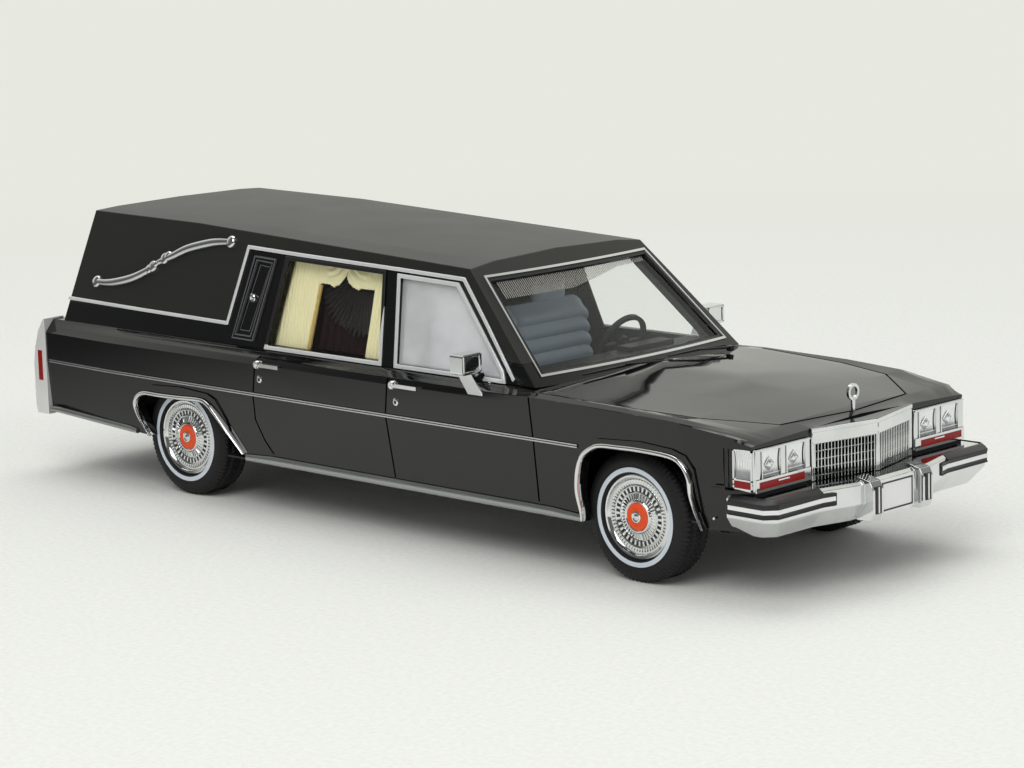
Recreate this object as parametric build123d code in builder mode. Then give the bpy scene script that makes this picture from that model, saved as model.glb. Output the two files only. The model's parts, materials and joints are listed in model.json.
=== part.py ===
"""Die-cast scale model of a hearse: hollow body, roof shell, base plate, cabin and two free-rolling axles.

Frame: +X to the nose, +Y to the left (driver's) side, +Z up. The origin is on the floor, under the
middle of the model. All lengths are in millimetres.
"""
from math import atan2, degrees, hypot
import os

from build123d import *

os.makedirs("parts", exist_ok=True)

# Wheels and their places
wheelbase = 85.35
front_axle_x = 46.0
rear_axle_x = front_axle_x - wheelbase
tyre_radius = 8.3
tyre_width = 5.2
track_half = 17.6
rim_lip = 0.35
hub_dish = 0.5
hub_cap_radius = 4.83
axle_radius = 0.8
axle_clearance = 0.06

# Lower body
tail_x = -68.6
nose_x = 65.4
body_half_width = 22.2
sill_z = 7.0
stripe_z = 16.7
shoulder_z = 22.6
sill_inset = 0.8
wall = 1.2
nose_depth = 5.0
overrun = 2.0

# Greenhouse
belt_inset = 2.3
belt_half_width = body_half_width - belt_inset
roof_top_z = 39.05
side_lean = 0.257
roof_front_x = 13.7
roof_rear_x = -68.0
roof_wall = 1.1
screen_foot_x = 28.95
screen_head_x = 11.2
screen_foot_bow = 2.2
screen_head_bow = 1.2
rear_foot_x = -66.1
rear_head_x = -62.4
glass_inset = 0.3
glass_thickness = 0.6

# Bright trim that stands on the panels
trim_proud = 0.22
stripe_height = 0.45
rocker_height = 1.5
trim_width = 0.5
gap_width = 0.28
gap_depth = 0.3

# Bumpers
front_bumper_reach = 5.15
guard_reach = 1.3
rear_bumper_reach = 2.9
front_bumper_x = nose_x + front_bumper_reach
front_guard_x = front_bumper_x + guard_reach
rear_bumper_x = tail_x - rear_bumper_reach
bumper_low_z = 8.6
bumper_high_z = 13.5
guard_y = 4.95
guard_width = 2.0
plate_width = 6.6
plate_height = 4.1
plate_thickness = 0.35

# Base plate and cabin
base_low_z = 5.4
base_thickness = sill_z - base_low_z
base_inset = 1.0
base_half_width = body_half_width - sill_inset - base_inset
wheel_room = 1.0
tub_floor = 1.0
deck_drop = 4.4
deck_top_z = shoulder_z - deck_drop
deck_thickness = 0.9

body_length = nose_x - tail_x

# Lower body sections. Columns: place along the body, half width of the side, belt height, ridge half
# width and height, hood edge half width and height, centre height. Places are shares of the body
# length, side widths of its half width, the other widths of the belt's, heights of the shoulder height.
body_section_shares = (
    (0.000, 0.968, 0.920, 1.000, 1.000, 0.948, 1.000, 1.000),
    (0.112, 1.000, 0.920, 1.000, 1.000, 0.948, 1.000, 1.000),
    (0.701, 1.000, 0.969, 1.000, 1.000, 0.948, 1.000, 1.000),
    (0.756, 1.000, 0.971, 1.065, 0.990, 1.038, 0.987, 1.049),
    (0.862, 1.000, 0.962, 1.071, 0.978, 1.000, 0.967, 1.009),
    (0.924, 0.995, 0.949, 1.055, 0.962, 0.919, 0.949, 0.965),
    (0.981, 0.965, 0.905, 1.038, 0.914, 0.624, 0.912, 0.929),
    (1.000, 0.935, 0.863, 1.015, 0.867, 0.498, 0.885, 0.900),
)
cavity_sections = body_section_shares[:3] + (body_section_shares[5], body_section_shares[7])
hood_sections = body_section_shares[3:7]

# Roof sections. Columns: place along the roof, heights of the lower ridge, upper ridge and centre.
# Places are shares of the roof length, heights shares of the roof's top.
roof_section_shares = (
    (0.00, 0.990, 0.996, 1.000),
    (0.35, 0.982, 0.987, 0.992),
    (1.00, 0.928, 0.941, 0.950),
    (1.22, 0.909, 0.922, 0.930),
)
ridge_inset = 8.1
upper_ridge_y = belt_half_width - ridge_inset
roof_length = roof_front_x - roof_rear_x

# Wheel arches, as shares of the tyre radius: forward of the axle and above the floor.
front_arch_shares = (
    (-0.875, 0.50), (-0.875, 1.02), (-0.91, 1.34), (-0.865, 1.58), (-0.79, 1.82), (-0.65, 1.95),
    (-0.44, 2.04),
    (0.35, 2.07), (0.90, 2.05), (1.12, 1.98), (1.26, 1.80), (1.305, 1.55), (1.39, 1.28), (1.485, 1.06),
    (1.485, 0.50),
)
rear_arch_shares = (
    (1.71, 0.50), (1.71, 0.94), (1.09, 1.55), (0.90, 1.69), (0.72, 1.735), (-0.33, 1.70), (-0.70, 1.70),
    (-0.87, 1.64), (-0.955, 1.53), (-0.92, 1.37), (-0.70, 0.975), (-0.70, 0.50),
)
# Raised flares over the arches, closed through the opening.
front_flare_shares = (
    (-0.96, 1.40), (-0.85, 1.87), (-0.65, 2.12), (-0.48, 2.18), (0.36, 2.23), (0.98, 2.19), (1.22, 2.12),
    (1.37, 1.93), (1.46, 1.30),
)
rear_flare_shares = (
    (-1.01, 1.40), (-0.94, 1.62), (-0.81, 1.77), (-0.53, 1.89), (0.22, 1.93), (0.92, 1.89), (1.11, 1.81),
    (1.35, 1.49), (1.45, 1.20),
)

# Door windows and the louvre panel: along the car from the middle of the B post, as shares of the
# roof's length, and up from the shoulder as shares of the roof's rise.
post_x = 1.6
front_window_shares = (
    (0.032, 0.035), (0.012, 0.699), (0.141, 0.682), (0.263, 0.080), (0.267, 0.035),
)
rear_window_shares = (
    (-0.010, 0.035), (-0.029, 0.711), (-0.260, 0.736), (-0.280, 0.035),
)
louvre_shares = (
    (-0.319, 0.055), (-0.291, 0.735), (-0.345, 0.745), (-0.373, 0.060),
)
roof_rise = roof_top_z - shoulder_z


def mirrored(points):
    """Half outline with its mirror image about the centre plane, as one closed list of points."""
    return list(points) + [(-y, z) for y, z in reversed(points) if y > 0]


def body_form(outset=0.0, tail_cut=0.0, nose_cut=0.0, drop=0.0, sections=body_section_shares):
    """Lower body as one closed solid, its sides and top moved out by outset and its foot down by drop."""
    last = len(sections) - 1
    with BuildPart(mode=Mode.PRIVATE) as form:
        for index, row in enumerate(sections):
            place, side, belt, ridge_y, ridge_z, edge_y, edge_z, centre = row
            x = tail_x + place * body_length
            if index == 0:
                x += tail_cut
            if index == last:
                x -= nose_cut
            side_y = side * body_half_width + outset
            half = [
                (0, sill_z - drop),
                (side_y - sill_inset, sill_z - drop),
                (side_y, stripe_z),
                (side_y, belt * shoulder_z + outset),
                (ridge_y * belt_half_width + outset, ridge_z * shoulder_z + outset),
                (edge_y * belt_half_width + outset, edge_z * shoulder_z + outset),
                (0, centre * shoulder_z + outset),
            ]
            with BuildSketch(Plane.YZ.offset(x)):
                with BuildLine():
                    Polyline(*mirrored(half), close=True)
                make_face()
        loft(ruled=True)
    return form.part


def roof_side_y(z):
    """Half width of the greenhouse side at a height."""
    return belt_half_width - (z - shoulder_z) * side_lean


def screen_block(setback=0.0):
    """Everything in front of the windscreen's face, with that face moved back by setback."""
    low = shoulder_z - overrun
    high = roof_top_z + overrun
    slope = (screen_foot_x - screen_head_x) / (roof_top_z - shoulder_z)
    with BuildPart(mode=Mode.PRIVATE) as block:
        for z, bow in ((low, screen_foot_bow), (high, screen_head_bow)):
            corner = screen_foot_x - (z - shoulder_z) * slope - setback
            reach = screen_foot_x + 4 * overrun
            with BuildSketch(Plane.XY.offset(z)):
                with BuildLine():
                    ThreePointArc(
                        (corner, -body_half_width), (corner + bow, 0), (corner, body_half_width)
                    )
                    Polyline(
                        (corner, body_half_width), (reach, body_half_width),
                        (reach, -body_half_width), (corner, -body_half_width),
                    )
                make_face()
        loft(ruled=True)
    return block.part


def rear_block(setback=0.0):
    """Everything behind the rear face of the greenhouse, with that face moved in by setback."""
    slope = (rear_head_x - rear_foot_x) / (roof_top_z - shoulder_z)
    low = shoulder_z - overrun
    high = roof_top_z + overrun
    with BuildPart(mode=Mode.PRIVATE) as block:
        with BuildSketch(Plane.XZ):
            with BuildLine():
                Polyline(
                    (rear_foot_x - overrun * slope + setback, low),
                    (rear_head_x + overrun * slope + setback, high),
                    (roof_rear_x - 4 * overrun, high),
                    (roof_rear_x - 4 * overrun, low),
                    close=True,
                )
            make_face()
        extrude(amount=body_half_width, both=True)
    return block.part


def roof_form(outset=0.0, drop=0.0):
    """Greenhouse as one closed solid, every face moved out by outset and its foot down by drop."""
    foot = shoulder_z - drop
    with BuildPart(mode=Mode.PRIVATE) as form:
        for place, low_ridge, high_ridge, centre in roof_section_shares:
            ridge_z = low_ridge * roof_top_z
            half = [
                (0, foot),
                (roof_side_y(foot) + outset, foot),
                (roof_side_y(ridge_z) + outset, ridge_z + outset),
                (upper_ridge_y, high_ridge * roof_top_z + outset),
                (0, centre * roof_top_z + outset),
            ]
            with BuildSketch(Plane.YZ.offset(roof_rear_x + place * roof_length)):
                with BuildLine():
                    Polyline(*mirrored(half), close=True)
                make_face()
        loft(ruled=True)
        add(screen_block(-outset), mode=Mode.SUBTRACT)
        add(rear_block(-outset), mode=Mode.SUBTRACT)
    return form.part


def arch_points(axle_x, shares, grow=0.0):
    """Arch outline in the side view, grown outwards by about grow."""
    points = []
    for forward, up in shares:
        x = axle_x + forward * tyre_radius
        z = up * tyre_radius
        reach = hypot(forward, up)
        points.append((x + grow * forward / reach, z + grow * up / reach))
    return points


def window_points(shares):
    """Side window outline in the side view."""
    return [(post_x + along * roof_length, shoulder_z + up * roof_rise) for along, up in shares]


def side_prism(points, low_y, high_y):
    """Outline in the side view carried across the car from low_y to high_y."""
    with BuildPart(mode=Mode.PRIVATE) as prism:
        with BuildSketch(Plane.XZ.offset(-low_y)):
            with BuildLine():
                Polyline(*points, close=True)
            make_face()
        extrude(amount=low_y - high_y)
    return prism.part


def side_ribbon(points, width, low_y, high_y):
    """Line in the side view given a width and carried across the car from low_y to high_y."""
    with BuildPart(mode=Mode.PRIVATE) as ribbon:
        with BuildSketch(Plane.XZ.offset(-low_y)):
            with BuildLine():
                Polyline(*points)
            trace(line_width=width)
        extrude(amount=low_y - high_y)
    return ribbon.part


def plan_ribbon(points, width, low_z, high_z):
    """Line in plan given a width and carried up from low_z to high_z."""
    with BuildPart(mode=Mode.PRIVATE) as ribbon:
        with BuildSketch(Plane.XY.offset(low_z)):
            with BuildLine():
                Polyline(*points)
            trace(line_width=width)
        extrude(amount=high_z - low_z)
    return ribbon.part


outer_body = body_form()
proud_body = body_form(trim_proud)
grooved_body = body_form(-gap_depth)
outer_roof = roof_form()
proud_roof = roof_form(trim_proud)
reach_y = body_half_width + overrun

# Headlamps' and grille's heights, set down from the shoulder.
lamp_drop = 3.5
lamp_height = 5.1
lamp_high_z = shoulder_z - lamp_drop
lamp_low_z = lamp_high_z - lamp_height
lamp_inner_y = 10.3
lamp_depth = 3.8
header_drop = 3.05
header_height = 1.4
grille_top_z = shoulder_z - header_drop
header_low_z = grille_top_z - header_height

# Foot of the body before the front wheels and behind the rear ones, where it rises off the sill's line.
front_rise = 1.7
front_rise_end = 2.2
rear_rise = 1.1
rear_rise_end = 2.2
front_overhang = [
    (front_axle_x + front_arch_shares[-1][0] * tyre_radius - gap_width, sill_z + front_rise),
    (nose_x + overrun, sill_z + front_rise_end),
]
rear_overhang = [
    (tail_x - overrun, sill_z + rear_rise_end),
    (rear_axle_x + rear_arch_shares[-1][0] * tyre_radius + gap_width, sill_z + rear_rise),
]

# Door gaps in the side view, as shares of the body length from the tail and of the shoulder height.
door_gap_shares = (
    ((0.353, 0.97), (0.347, 0.72), (0.347, 0.58), (0.358, 0.46), (0.370, 0.38)),
    ((0.547, 0.96), (0.543, 0.74), (0.549, 0.37)),
    ((0.738, 0.97), (0.743, 0.73), (0.744, 0.38)),
)

# Gaps round the doors, the hood and the rear door, cut only as deep as gap_depth below the panels.
hood_seam_setback = 2.0
rear_door_half_width = 15.5
rear_door_low_z = 12.6
hood_edge = [(tail_x + row[0] * body_length, row[5] * belt_half_width) for row in hood_sections]
hood_front = hood_edge[-1]
with BuildPart() as door_gaps:
    for line in door_gap_shares:
        points = [(tail_x + along * body_length, up * shoulder_z) for along, up in line]
        add(side_ribbon(points, gap_width, belt_half_width, reach_y))
    add(plan_ribbon(hood_edge, gap_width, lamp_high_z, roof_top_z))
    mirror(about=Plane.XZ)
    across = [hood_front, (nose_x - hood_seam_setback / 2, 0), (hood_front[0], -hood_front[1])]
    add(plan_ribbon(across, gap_width, lamp_high_z, roof_top_z))
    with BuildSketch(Plane.YZ.offset(tail_x - overrun)):
        with BuildLine():
            Polyline(
                (-rear_door_half_width, shoulder_z + wall), (-rear_door_half_width, rear_door_low_z),
                (rear_door_half_width, rear_door_low_z), (rear_door_half_width, shoulder_z + wall),
            )
        trace(line_width=gap_width)
    extrude(amount=2 * overrun)
    add(grooved_body, mode=Mode.SUBTRACT)

# Flares over the arches, part of the body.
flare_proud = 0.25
flares = []
for axle_x, shares in ((front_axle_x, front_flare_shares), (rear_axle_x, rear_flare_shares)):
    outline = [(axle_x + forward * tyre_radius, up * tyre_radius) for forward, up in shares]
    flares.append(side_prism(outline, belt_half_width, reach_y))
with BuildPart() as arch_flares:
    for flare in flares:
        add(flare)
    add(body_form(flare_proud), mode=Mode.INTERSECT)
    mirror(about=Plane.XZ)

# Black cap over the grille's header, a V in plan with its peak on the centre line.
bezel_proud = 0.3
grille_half_width = 9.9
grille_peak = 2.4
header_cap_height = 0.5


def v_outline(low_x, outset=0.0):
    """Plan of the V from low_x to its peak, its face moved out by outset."""
    corner_x = nose_x + bezel_proud + outset
    return [
        (low_x, grille_half_width + outset), (corner_x, grille_half_width + outset),
        (corner_x + grille_peak, 0),
        (corner_x, -grille_half_width - outset), (low_x, -grille_half_width - outset),
    ]

# Body shell: the sections above, hollowed from below, open under the greenhouse.
cabin_front_x = 26.0
with BuildPart() as body_shell:
    add(outer_body)
    add(arch_flares.part)
    with BuildSketch(Plane.XY.offset(grille_top_z)):
        with BuildLine():
            Polyline(*v_outline(nose_x - wall), close=True)
        make_face()
    extrude(amount=header_cap_height)
    add(body_form(-wall, wall, nose_depth, overrun, cavity_sections), mode=Mode.SUBTRACT)
    with BuildSketch(Plane.XY.offset(shoulder_z - 2 * wall)):
        with Locations(((cabin_front_x + rear_foot_x + roof_wall) / 2, 0)):
            Rectangle(cabin_front_x - rear_foot_x - roof_wall, 2 * (belt_half_width - roof_wall))
    extrude(amount=3 * wall, mode=Mode.SUBTRACT)
    for axle_x, shares in ((front_axle_x, front_arch_shares), (rear_axle_x, rear_arch_shares)):
        add(side_prism(arch_points(axle_x, shares), -reach_y, reach_y), mode=Mode.SUBTRACT)
    for line in (front_overhang, rear_overhang):
        low = [(x, sill_z - overrun) for x, _ in reversed(line)]
        add(side_prism(line + low, -reach_y, reach_y), mode=Mode.SUBTRACT)
    add(door_gaps.part, mode=Mode.SUBTRACT)
    lamp_middle_y = (lamp_inner_y + reach_y) / 2
    lamp_middle_z = (lamp_low_z + lamp_high_z) / 2
    with Locations(
        (nose_x, lamp_middle_y, lamp_middle_z), (nose_x, -lamp_middle_y, lamp_middle_z)
    ):
        Box(2 * lamp_depth, reach_y - lamp_inner_y, lamp_high_z - lamp_low_z, mode=Mode.SUBTRACT)
body_shell.part.label = "body_shell"
export_step(body_shell.part, "parts/body_shell.step")

# Roof shell with its pillars, quarter panels and window openings.
screen_open_low = 0.09
screen_open_high = 0.735
screen_post_foot = 2.9
screen_post_head = 2.0
rear_post = 8.4
screen_open_half = belt_half_width - screen_post_foot
screen_open_head_half = roof_side_y(shoulder_z + screen_open_high * roof_rise) - screen_post_head
rear_open_half = belt_half_width - rear_post
rear_open_low = 0.16
rear_open_high = 0.78


def screen_opening(inset=0.0):
    """Windscreen opening carried along the car, with its edge moved in by inset."""
    low = shoulder_z + screen_open_low * roof_rise + inset
    high = shoulder_z + screen_open_high * roof_rise - inset
    with BuildPart(mode=Mode.PRIVATE) as opening:
        with BuildSketch(Plane.YZ.offset(roof_front_x - 3 * overrun)):
            with BuildLine():
                Polyline(
                    (screen_open_half - inset, low), (screen_open_head_half - inset, high),
                    (-screen_open_head_half + inset, high), (-screen_open_half + inset, low),
                    close=True,
                )
            make_face()
        extrude(amount=screen_foot_x - roof_front_x + 6 * overrun)
    return opening.part


def rear_opening(inset=0.0):
    """Rear window opening carried along the car, with its edge moved in by inset."""
    low = shoulder_z + rear_open_low * roof_rise
    high = shoulder_z + rear_open_high * roof_rise
    with BuildPart(mode=Mode.PRIVATE) as opening:
        with BuildSketch(Plane.YZ.offset(rear_foot_x - overrun)):
            with Locations((0, (low + high) / 2)):
                RectangleRounded(2 * (rear_open_half - inset), high - low - 2 * inset, wall)
        extrude(amount=rear_head_x - rear_foot_x + 3 * overrun)
    return opening.part


with BuildPart() as roof_shell:
    add(outer_roof)
    add(roof_form(-roof_wall, overrun), mode=Mode.SUBTRACT)
    for shares in (front_window_shares, rear_window_shares):
        add(side_prism(window_points(shares), -reach_y, reach_y), mode=Mode.SUBTRACT)
    add(screen_opening(), mode=Mode.SUBTRACT)
    add(rear_opening(), mode=Mode.SUBTRACT)
roof_shell.part.label = "roof_shell"
export_step(roof_shell.part, "parts/roof_shell.step")

# Glass, each pane flush with the edges of its opening and set back from the panel.
pane_outer = roof_form(-glass_inset, overrun)
pane_inner = roof_form(-glass_inset - glass_thickness, 2 * overrun)
for side_name, side in (("left", 1), ("right", -1)):
    with BuildPart() as door_glass:
        for shares in (front_window_shares, rear_window_shares):
            outline = window_points(shares)
            add(side_prism(outline, side * upper_ridge_y, side * reach_y))
        add(pane_outer, mode=Mode.INTERSECT)
        add(pane_inner, mode=Mode.SUBTRACT)
    door_glass.part.label = f"door_glass_{side_name}"
    export_step(door_glass.part, f"parts/door_glass_{side_name}.step")

with BuildPart() as windscreen:
    add(screen_opening())
    add(pane_outer, mode=Mode.INTERSECT)
    add(pane_inner, mode=Mode.SUBTRACT)
windscreen.part.label = "windscreen"
export_step(windscreen.part, "parts/windscreen.step")

with BuildPart() as rear_glass:
    add(rear_opening())
    add(pane_outer, mode=Mode.INTERSECT)
    add(pane_inner, mode=Mode.SUBTRACT)
rear_glass.part.label = "rear_glass"
export_step(rear_glass.part, "parts/rear_glass.step")
print("shells and glass done")

# Curtains in the rear side windows: a pleated panel each side and a valance, as plain solids.
curtain_gap = 0.3
curtain_thickness = 0.9
curtain_overlap = 0.8
curtain_hole_shares = (
    (-0.048, 0.035), (-0.046, 0.571), (-0.114, 0.675), (-0.181, 0.559), (-0.187, 0.035),
)
curtain_outer = roof_form(-roof_wall - curtain_gap, overrun)
curtain_inner = roof_form(-roof_wall - curtain_gap - curtain_thickness, 2 * overrun)
for side_name, side in (("left", 1), ("right", -1)):
    with BuildPart() as curtain:
        with BuildSketch(Plane.XZ.offset(-side * upper_ridge_y)):
            with BuildLine():
                Polyline(*window_points(rear_window_shares), close=True)
            make_face()
            offset(amount=curtain_overlap, kind=Kind.INTERSECTION)
            with BuildLine():
                Polyline(*window_points(curtain_hole_shares), close=True)
            make_face(mode=Mode.SUBTRACT)
        extrude(amount=side * (upper_ridge_y - reach_y))
        add(curtain_outer, mode=Mode.INTERSECT)
        add(curtain_inner, mode=Mode.SUBTRACT)
    curtain.part.label = f"curtain_{side_name}"
    export_step(curtain.part, f"parts/curtain_{side_name}.step")

# Bright frames round the door windows and the strip round the greenhouse, as shares like the windows.
strip_shares = (
    (-0.828, 0.200), (-0.597, 0.182), (-0.389, 0.170), (-0.362, 0.808), (-0.234, 0.790), (0.007, 0.764),
    (0.155, 0.745), (0.222, 0.410), (0.294, 0.035),
)
frame_width = 0.55
with BuildPart() as window_trims:
    for shares in (front_window_shares, rear_window_shares):
        with BuildSketch(Plane.XZ.offset(-upper_ridge_y)):
            with BuildLine():
                Polyline(*window_points(shares), close=True)
            make_face()
            offset(amount=frame_width, kind=Kind.INTERSECTION)
            with BuildLine():
                Polyline(*window_points(shares), close=True)
            make_face(mode=Mode.SUBTRACT)
        extrude(amount=upper_ridge_y - reach_y)
    add(side_ribbon(window_points(strip_shares), trim_width, upper_ridge_y, reach_y))
    add(proud_roof, mode=Mode.INTERSECT)
    add(outer_roof, mode=Mode.SUBTRACT)
    mirror(about=Plane.XZ)
window_trims.part.label = "window_trims"
export_step(window_trims.part, "parts/window_trims.step")

with BuildPart() as windscreen_trim:
    add(screen_opening(-frame_width))
    add(screen_opening(), mode=Mode.SUBTRACT)
    add(proud_roof, mode=Mode.INTERSECT)
    add(outer_roof, mode=Mode.SUBTRACT)
windscreen_trim.part.label = "windscreen_trim"
export_step(windscreen_trim.part, "parts/windscreen_trim.step")

# Quarter panels behind the rear doors: a bright frame round a bare recess with a plain button.
button_radius = 0.55
button_share = (-0.333, 0.40)
with BuildPart() as louvre_panels:
    with BuildSketch(Plane.XZ.offset(-upper_ridge_y)):
        with BuildLine():
            Polyline(*window_points(louvre_shares), close=True)
        make_face()
        with BuildLine():
            Polyline(*window_points(louvre_shares), close=True)
        make_face(mode=Mode.PRIVATE)
        offset(amount=-frame_width, kind=Kind.INTERSECTION, mode=Mode.SUBTRACT)
        with Locations(*window_points([button_share])):
            Circle(button_radius)
    extrude(amount=upper_ridge_y - reach_y)
    add(proud_roof, mode=Mode.INTERSECT)
    add(outer_roof, mode=Mode.SUBTRACT)
    mirror(about=Plane.XZ)
louvre_panels.part.label = "louvre_panels"
export_step(louvre_panels.part, "parts/louvre_panels.step")

# Landau bars: an S made of two arcs with a knob at each end and a clasp in the middle.
bar_width = 1.0
knob_radius = 0.85
clasp_radius = 0.95
bar_proud = 0.7
bar_shares = ((-0.750, 0.371), (-0.668, 0.425), (-0.588, 0.596), (-0.508, 0.765), (-0.408, 0.833))
with BuildPart() as landau_bars:
    start, first_bow, middle, second_bow, end = window_points(bar_shares)
    with BuildSketch(Plane.XZ.offset(-upper_ridge_y)):
        with BuildLine():
            ThreePointArc(start, first_bow, middle)
            ThreePointArc(middle, second_bow, end)
        trace(line_width=bar_width)
        with Locations(start, end):
            RegularPolygon(knob_radius, 8)
        with Locations(middle):
            RegularPolygon(clasp_radius, 8)
    extrude(amount=upper_ridge_y - reach_y)
    add(roof_form(bar_proud), mode=Mode.INTERSECT)
    add(outer_roof, mode=Mode.SUBTRACT)
    mirror(about=Plane.XZ)
landau_bars.part.label = "landau_bars"
export_step(landau_bars.part, "parts/landau_bars.step")

# Side mouldings, sill mouldings and arch lips, all thin skins that stand on the body's side.
stripe_share_from = 0.006
stripe_share_to = 0.800
sill_share_from = 0.324
sill_share_to = 0.800


def body_skin(prisms, proud):
    """Part of the side's skin that the prisms cover, standing proud of the body, on both sides."""
    with BuildPart(mode=Mode.PRIVATE) as skin:
        for prism in prisms:
            add(prism)
        add(proud, mode=Mode.INTERSECT)
        add(outer_body, mode=Mode.SUBTRACT)
        mirror(about=Plane.XZ)
    return skin.part


stripe_line = [
    (tail_x + stripe_share_from * body_length, stripe_z),
    (tail_x + stripe_share_to * body_length, stripe_z),
]
with BuildPart() as side_stripes:
    add(body_skin([side_ribbon(stripe_line, stripe_height, belt_half_width, reach_y)], proud_body))
side_stripes.part.label = "side_stripes"
export_step(side_stripes.part, "parts/side_stripes.step")

sill_outline = [
    (tail_x + sill_share_from * body_length, sill_z),
    (tail_x + sill_share_from * body_length, sill_z + rocker_height),
    (tail_x + sill_share_to * body_length, sill_z + rocker_height),
    (tail_x + sill_share_to * body_length, sill_z),
]
tail_sill_x = rear_overhang[1][0] - gap_width - 2 * trim_width
tail_sill_outline = [
    (tail_sill_x, sill_z + rear_rise), (tail_x + trim_width, sill_z + rear_rise_end),
    (tail_x + trim_width, sill_z + rear_rise_end + rocker_height),
    (tail_sill_x, sill_z + rear_rise + rocker_height),
]
sill_prisms = [
    side_prism(outline, belt_half_width - overrun, reach_y) for outline in (sill_outline, tail_sill_outline)
]
with BuildPart() as sill_mouldings:
    add(body_skin(sill_prisms, proud_body))
sill_mouldings.part.label = "sill_mouldings"
export_step(sill_mouldings.part, "parts/sill_mouldings.step")

lips = []
for axle_x, shares in ((front_axle_x, front_arch_shares), (rear_axle_x, rear_arch_shares)):
    with BuildPart() as lip:
        add(side_prism(arch_points(axle_x, shares, trim_width), belt_half_width, reach_y))
        add(side_prism(arch_points(axle_x, shares), belt_half_width - wall, reach_y + wall),
            mode=Mode.SUBTRACT)
    lips.append(lip.part)
with BuildPart() as arch_lips:
    add(body_skin(lips, body_form(flare_proud + trim_proud)))
    add(arch_flares.part, mode=Mode.SUBTRACT)
    with BuildSketch(Plane.XZ):
        with Locations((0, sill_z)):
            Rectangle(2 * body_length, 2 * rocker_height)
    extrude(amount=reach_y, both=True, mode=Mode.SUBTRACT)
arch_lips.part.label = "arch_lips"
export_step(arch_lips.part, "parts/arch_lips.step")

# Door handles, a bar over each door's rear end.
handle_length = 4.8
handle_height = 0.5
handle_proud = 0.5
handle_shares = ((0.355, 0.926), (0.555, 0.926))
with BuildPart() as door_handles:
    handles = []
    for along, up in handle_shares:
        x = tail_x + along * body_length
        z = up * shoulder_z
        handles.append(side_ribbon([(x, z), (x + handle_length, z)], handle_height, belt_half_width, reach_y))
    add(body_skin(handles, body_form(handle_proud)))
door_handles.part.label = "door_handles"
export_step(door_handles.part, "parts/door_handles.step")

# Front bumper: a deep band wrapped round the nose, cut back below, with a shelf and two upright guards.
bumper_sweep = 1.45
bumper_return = 3.2
bumper_inset = 0.4
corner_cut = 1.3
bumper_thickness = 1.3
bumper_undercut = 1.6
shelf_thickness = 0.8
guard_round = 0.5
bumper_corner_x = front_bumper_x - bumper_sweep
bumper_end_x = nose_x - bumper_return
bumper_half_width = body_half_width - bumper_inset
strip_low_z = 11.3
strip_high_z = 12.8
strip_proud = 0.2
strip_end_y = 10.4
# Columns: share of the bumper's height, share of the undercut.
bumper_level_shares = ((0.00, 1.00), (0.45, 0.00), (0.93, 0.00), (1.00, 0.30))


def bumper_outline(inset=0.0):
    """Plan of the front bumper, nose side, moved in by inset."""
    half = [
        (bumper_end_x, bumper_half_width - inset),
        (bumper_corner_x - corner_cut - inset, bumper_half_width - inset),
        (bumper_corner_x - inset, bumper_half_width - corner_cut - inset),
        (bumper_corner_x - inset, 2.5 * guard_y),
        (front_bumper_x - inset, 1.4 * guard_y),
    ]
    return half + [(x, -y) for x, y in reversed(half)]


with BuildPart() as front_bumper:
    for up, back in bumper_level_shares:
        with BuildSketch(Plane.XY.offset(bumper_low_z + up * (bumper_high_z - bumper_low_z))):
            with BuildLine():
                Polyline(*bumper_outline(back * bumper_undercut), close=True)
            make_face()
    loft(ruled=True)
    with BuildSketch(Plane.XY.offset(bumper_low_z - overrun)):
        with BuildLine():
            Polyline(*bumper_outline(bumper_undercut + bumper_thickness), close=True)
        make_face()
    extrude(amount=bumper_high_z - shelf_thickness - bumper_low_z + overrun, mode=Mode.SUBTRACT)
    with BuildSketch(Plane.XY.offset(bumper_low_z)):
        with BuildLine():
            Polyline(*v_outline(bumper_end_x - overrun, strip_proud), close=True)
        make_face()
    extrude(amount=bumper_high_z - bumper_low_z + overrun, mode=Mode.SUBTRACT)
    guard_outline = [
        (front_bumper_x - bumper_thickness, bumper_low_z), (front_guard_x - guard_round, bumper_low_z),
        (front_guard_x, bumper_low_z + 2 * guard_round), (front_guard_x, bumper_high_z - 2 * guard_round),
        (front_guard_x - guard_round, bumper_high_z),
        (front_bumper_x - bumper_thickness, bumper_high_z + guard_round),
    ]
    for side in (1, -1):
        add(side_prism(guard_outline, side * guard_y - guard_width / 2, side * guard_y + guard_width / 2))
    add(outer_body, mode=Mode.SUBTRACT)
front_bumper.part.label = "front_bumper"
export_step(front_bumper.part, "parts/front_bumper.step")

with BuildPart() as rub_strips:
    with BuildSketch(Plane.XY.offset(strip_low_z)):
        with BuildLine():
            Polyline(*bumper_outline(-strip_proud), close=True)
        make_face()
        with BuildLine():
            Polyline(*bumper_outline(), close=True)
        make_face(mode=Mode.SUBTRACT)
        Rectangle(2 * front_guard_x, 2 * strip_end_y, mode=Mode.SUBTRACT)
    extrude(amount=strip_high_z - strip_low_z)
rub_strips.part.label = "front_rub_strips"
export_step(rub_strips.part, "parts/front_rub_strips.step")

with BuildPart() as front_plate:
    with BuildSketch(Plane.YZ.offset(front_bumper_x)):
        with Locations((0, (bumper_low_z + bumper_high_z) / 2)):
            Rectangle(plate_width, plate_height)
    extrude(amount=plate_thickness)
front_plate.part.label = "front_plate"
export_step(front_plate.part, "parts/front_plate.step")

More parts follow.
